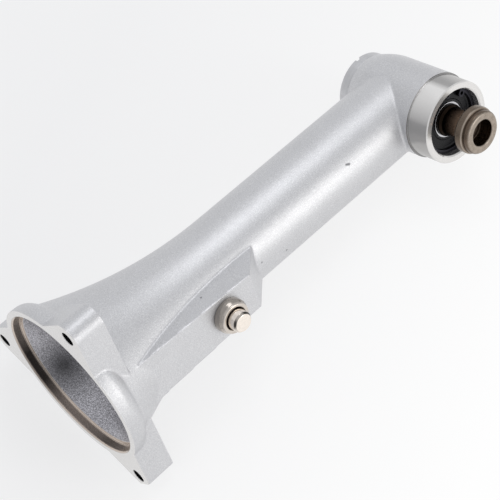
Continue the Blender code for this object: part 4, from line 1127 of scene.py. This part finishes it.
def drive_coupling(finish):
    """The jaw coupling seen up the mouth, with three slots across its face and a pinned bore."""
    low, high, bore, radius = 15.6, 25.6, 4.55, 9.5
    slot_length, slot_width, slot_depth = 9.5, 5, 4
    corners = [(bore, low, 0.4), (radius, low, 0.8), (radius, high, 0.8), (bore, high, 0.3)]
    dog = to_mesh_object("slotted_coupling", lathe(corners, 120))
    slots, drill = bmesh.new(), bmesh.new()
    for slot in range(3):
        turn = Matrix.Rotation(FULL_TURN * slot / 3, 4, "Z")
        place = turn @ moved(bore - 0.27 + slot_length / 2, 0, low)
        block(slots, (slot_length, slot_width, 2 * slot_depth), place)
    across = moved(0, 0, low + 7.2) @ Matrix.Rotation(math.pi / 2, 4, "X")
    peg(drill, 1.25, 28, across, 32)
    cutters = [to_mesh_object("cut_slots", slots), to_mesh_object("cut_drill", drill)]
    combine(dog, "DIFFERENCE", cutters)
    soften_edges(dog, 0.2)
    dog.data.transform(HOME)
    return dress(dog, finish, "drive_line", "drive_dog")


# Operators


class ANGLEHEAD_OT_housing(bpy.types.Operator):
    """Model the cast housing with its machined faces"""

    bl_idname = "angle_head.housing"
    bl_label = "Housing"

    def execute(self, context):
        sizes = in_mm(context.scene.angle_head_housing)
        cast_housing(sizes, cast_finish(sizes, context.scene.angle_head_colours))
        return {"FINISHED"}


class ANGLEHEAD_OT_rear_cap(bpy.types.Operator):
    """Model the screwed rear cap with its spanner notches"""

    bl_idname = "angle_head.rear_cap"
    bl_label = "Rear cap"

    def execute(self, context):
        colours = context.scene.angle_head_colours
        finish = turned_metal("satin_cap", colours.cast, 0.4, 0.35, HEAD_HEIGHT, 0.9)
        rear_cap(in_mm(context.scene.angle_head_housing), finish)
        return {"FINISHED"}


class ANGLEHEAD_OT_bearings(bpy.types.Operator):
    """Model the two sealed bearings that can be seen, and the eyed rings that hold them"""

    bl_idname = "angle_head.bearings"
    bl_label = "Bearings and rings"

    def execute(self, context):
        colours = context.scene.angle_head_colours
        rubber = rubber_finish(colours)
        steel_x = turned_metal("ground_ring_x", colours.steel, 0.16, 0.4, HEAD_HEIGHT)
        steel_z = turned_metal("ground_ring_z", colours.steel, 0.16, 0.4)
        spring_x = turned_metal("spring_steel_x", colours.spring, 0.28, 0.3, HEAD_HEIGHT)
        spring_z = turned_metal("spring_steel_z", colours.spring, 0.28, 0.3)
        for label, axis, start, body, steel, sides, steps in (
            ("front_bearing", OUTPUT_AXIS, FRONT_BEARING, "spindle_group", steel_x, ("front", "back"), 160),
            ("shaft_bearing", NECK_AXIS, SHAFT_BEARING, "drive_line", steel_z, ("back",), 128),
        ):
            bearing_rings(label, axis, start, body, steel, rubber, sides, steps)
        bore, shaft_seat = BEARING_SEAT, 6.0
        front = FRONT_BEARING + BEARING_WIDTH + RING_GAP
        shaft = SHAFT_BEARING - RING_THICKNESS - RING_GAP
        for name, seat, start, axis, inside, turn, finish, body, node in (
            ("front", bore, front, OUTPUT_AXIS, True, 241, spring_x, "casing", "front_retaining_ring"),
            ("web", bore, shaft, NECK_AXIS, True, 0, spring_z, "casing", "shaft_bearing_ring"),
            ("shaft", shaft_seat, shaft, NECK_AXIS, False, 0, spring_z, "drive_line", "shaft_retaining_ring"),
        ):
            eyed_ring(f"eyed_{name}_ring", seat, start, axis, inside, math.radians(turn), finish, body, node)
        return {"FINISHED"}


class ANGLEHEAD_OT_spindle(bpy.types.Operator):
    """Model the output spindle with its grooved nose"""

    bl_idname = "angle_head.spindle"
    bl_label = "Spindle"

    def execute(self, context):
        sizes = in_mm(context.scene.angle_head_spindle)
        spindle(sizes, oxide_finish(sizes, context.scene.angle_head_colours))
        return {"FINISHED"}


class ANGLEHEAD_OT_lock(bpy.types.Operator):
    """Model the plated bush and button of the spindle lock"""

    bl_idname = "angle_head.lock"
    bl_label = "Spindle lock"

    def execute(self, context):
        scene = context.scene
        housing, lock = in_mm(scene.angle_head_housing), in_mm(scene.angle_head_lock)
        nickel = scene.angle_head_colours.nickel
        # Painted light: the button's nickel is a brightened copy of the bush's, so that its face looks lit
        bright = scaled(nickel, 1.42)[:3]
        top, stem = button_top(housing, lock), lock.button_radius
        lip = top - lock.travel
        # Painted reflection bands: the bush's wall and the button's chamfer; painted shade: the bush's bore
        # and the button's foot by the bush
        wall, chamfer, rim = (0.0, lip - 0.15), (top - 0.95, top - 0.12), lock.lip_radius + 0.1
        bush_finish = polished_plate("warm_nickel_bush", nickel, 0.2, rim, wall, stem + 0.7, lip - 0.4)
        button_finish = polished_plate(
            "warm_nickel_button", bright, 0.12, stem - 0.7, chamfer, lock.bush_radius, lip + 0.5, 0.92
        )
        lock_pieces(housing, lock, bush_finish, button_finish)
        return {"FINISHED"}


class ANGLEHEAD_OT_drive(bpy.types.Operator):
    """Model the coupling inside the mouth and finish the pieces of the drive that stay as they are"""

    bl_idname = "angle_head.drive"
    bl_label = "Drive and inner pieces"

    def execute(self, context):
        scene = context.scene
        colours = scene.angle_head_colours
        sizes = in_mm(scene.angle_head_housing), in_mm(scene.angle_head_lock)
        toothed, worn = (0.34, 0.33, 0.32), (0.6, 0.58, 0.55)
        drive_coupling(turned_metal("coupling_steel", (0.30, 0.295, 0.29), 0.3, 0.6, wear=(0.55, 0.54, 0.52)))
        return_spring(*sizes, turned_metal("spring_wire", (0.42, 0.41, 0.40), 0.25, 0.5, LOCK_HEIGHT))
        shaft = turned_metal("shaft_steel", (0.40, 0.39, 0.38), 0.26, 0.7)
        gear = turned_metal("gear_steel", toothed, 0.3, 0.6, HEAD_HEIGHT, wear=worn)
        pinion = turned_metal("pinion_steel", toothed, 0.3, 0.6, wear=worn)
        race_x = turned_metal("hidden_race_x", colours.steel, 0.16, 0.4, HEAD_HEIGHT)
        race_z = turned_metal("hidden_race_z", colours.steel, 0.16, 0.4)
        spring = turned_metal("dark_spring_steel", colours.spring, 0.3, 0.4)
        cage = turned_metal("cage_steel", (0.50, 0.47, 0.41), 0.28, 0.5)
        pin = turned_metal("pin_steel", (0.48, 0.48, 0.48), 0.2, 0.5, LOCK_HEIGHT)
        for finish, nodes in (
            (shaft, "drive_shaft shaft_sleeve"),
            (pinion, "lock_hub bevel_pinion"),
            (gear, "bevel_gear gear_key"),
            (spring, "gear_snap_ring pinion_bearing_ring"),
            (pin, "dog_pin hub_pin lower_sleeve_pin upper_sleeve_pin lock_pin"),
            (race_z, "pinion_bearing_inner_ring pinion_bearing_outer_ring"),
            (race_x, "rear_bearing_inner_ring rear_bearing_outer_ring"),
            (cage, "shaft_bearing_cage pinion_bearing_cage front_bearing_cage rear_bearing_cage"),
            (rubber_finish(colours), "cap_seal_ring"),
        ):
            for node in nodes.split():
                for slot in frame["nodes"][node].material_slots:
                    slot.material = finish
        return {"FINISHED"}


def area_light(name, place, width, height, watts, shade):
    """A soft rectangular lamp that faces the head."""
    lamp = bpy.data.lights.new(name, "AREA")
    lamp.shape = "RECTANGLE"
    lamp.size = width
    lamp.size_y = height
    lamp.energy = watts
    lamp.color = shade
    made = bpy.data.objects.new(name, lamp)
    towards = Vector(place) - Vector(LIT_POINT)
    made.matrix_world = Matrix.Translation(place) @ towards.to_track_quat("Z", "Y").to_matrix().to_4x4()
    bpy.context.scene.collection.objects.link(made)


def floor_finish(colours):
    """A pale floor, paler still towards +X as painted light. Its own shade lightens the shadow that the
    camera sees.
    """
    finish = Finish("pale_floor", 0.7, 0.0)
    here = finish.add("ShaderNodeTexCoord", output=3)
    x, y, _ = finish.split(here)
    cloud = finish.noise(here, 3.0, 2.0, 0.5)
    finish.surface(base_color=finish.mix(cloud, scaled(colours.floor, 0.985), scaled(colours.floor, 1.015)))
    seen = finish.add("ShaderNodeLightPath", output=0) + finish.add("ShaderNodeLightPath", output=3)
    # Painted light: the backdrop is paler and takes a larger share of the floor towards +X, as if lit from
    # that side
    painted_light_side = (x + y * 0.35).above(0.0, 0.24)
    backdrop = finish.mix(painted_light_side, opaque(BACKGROUND[0]), opaque(BACKGROUND[1]))
    glow = finish.add("ShaderNodeEmission", None, {"Color": backdrop, "Strength": 1.0})
    plain = Value(finish, finish.shader.outputs[0])
    share = seen * (BACKGROUND_SHARE + painted_light_side * PAINTED_LIGHT_SHARE)
    mixed = finish.add("ShaderNodeMixShader", None, {0: share, 1: plain, 2: glow})
    output = next(node for node in finish.tree.nodes if node.bl_idname == "ShaderNodeOutputMaterial")
    finish.tree.links.new(mixed.socket, output.inputs["Surface"])
    return finish.material


class ANGLEHEAD_OT_stage(bpy.types.Operator):
    """Set up the pale floor, the soft studio light and the camera"""

    bl_idname = "angle_head.stage"
    bl_label = "Stage"

    def execute(self, context):
        scene = context.scene
        colours = scene.angle_head_colours
        ground = bmesh.new()
        bmesh.ops.create_grid(ground, x_segments=1, y_segments=1, size=6.0)
        floor = to_mesh_object("floor", ground, moved(0, 0, -0.2))
        floor.data.materials.append(floor_finish(colours))

        world = bpy.data.worlds.new("studio")
        world.use_nodes = True
        room = world.node_tree.nodes["Background"]
        room.inputs["Color"].default_value = ROOM_COLOUR
        room.inputs["Strength"].default_value = ROOM_STRENGTH
        scene.world = world
        for softbox in SOFTBOXES:
            area_light(*softbox)

        right, above = Vector(CAMERA_RIGHT), Vector(CAMERA_ABOVE)
        view = Matrix((right, above, right.cross(above))).transposed().to_4x4()
        view.translation = Vector(CAMERA_PLACE) * MM
        lens = bpy.data.cameras.new("camera")
        lens.lens = LENS
        lens.sensor_width = 36.0
        lens.clip_start = 0.01
        camera = bpy.data.objects.new("camera", lens)
        camera.matrix_world = HOME @ view
        scene.collection.objects.link(camera)
        scene.camera = camera
        scene.view_settings.view_transform = "Standard"
        return {"FINISHED"}


OPERATORS = (
    ANGLEHEAD_OT_housing,
    ANGLEHEAD_OT_rear_cap,
    ANGLEHEAD_OT_bearings,
    ANGLEHEAD_OT_spindle,
    ANGLEHEAD_OT_lock,
    ANGLEHEAD_OT_drive,
    ANGLEHEAD_OT_stage,
)
GROUPS = {
    "angle_head_housing": HousingSizes,
    "angle_head_spindle": SpindleSizes,
    "angle_head_lock": LockSizes,
    "angle_head_colours": Colours,
}


class ANGLEHEAD_PT_panel(bpy.types.Panel):
    """Lists the pieces of the angle head and their sizes"""

    bl_idname = "ANGLEHEAD_PT_panel"
    bl_label = "Angle head"
    bl_space_type = "VIEW_3D"
    bl_region_type = "UI"
    bl_category = "Angle head"

    def draw(self, context):
        for operator in OPERATORS:
            self.layout.operator(operator.bl_idname)
        for name, group in GROUPS.items():
            box = self.layout.box()
            for label in group.__annotations__:
                box.prop(getattr(context.scene, name), label)


CLASSES = (*GROUPS.values(), *OPERATORS, ANGLEHEAD_PT_panel)


def register():
    for made in CLASSES:
        bpy.utils.register_class(made)
    for name, group in GROUPS.items():
        setattr(bpy.types.Scene, name, PointerProperty(type=group))


def unregister():
    for name in GROUPS:
        delattr(bpy.types.Scene, name)
    for made in reversed(CLASSES):
        bpy.utils.unregister_class(made)


def main():
    register()
    for name in ("housing", "rear_cap", "bearings", "spindle", "lock", "drive", "stage"):
        getattr(bpy.ops.angle_head, name)()


if __name__ == "__main__":
    main()
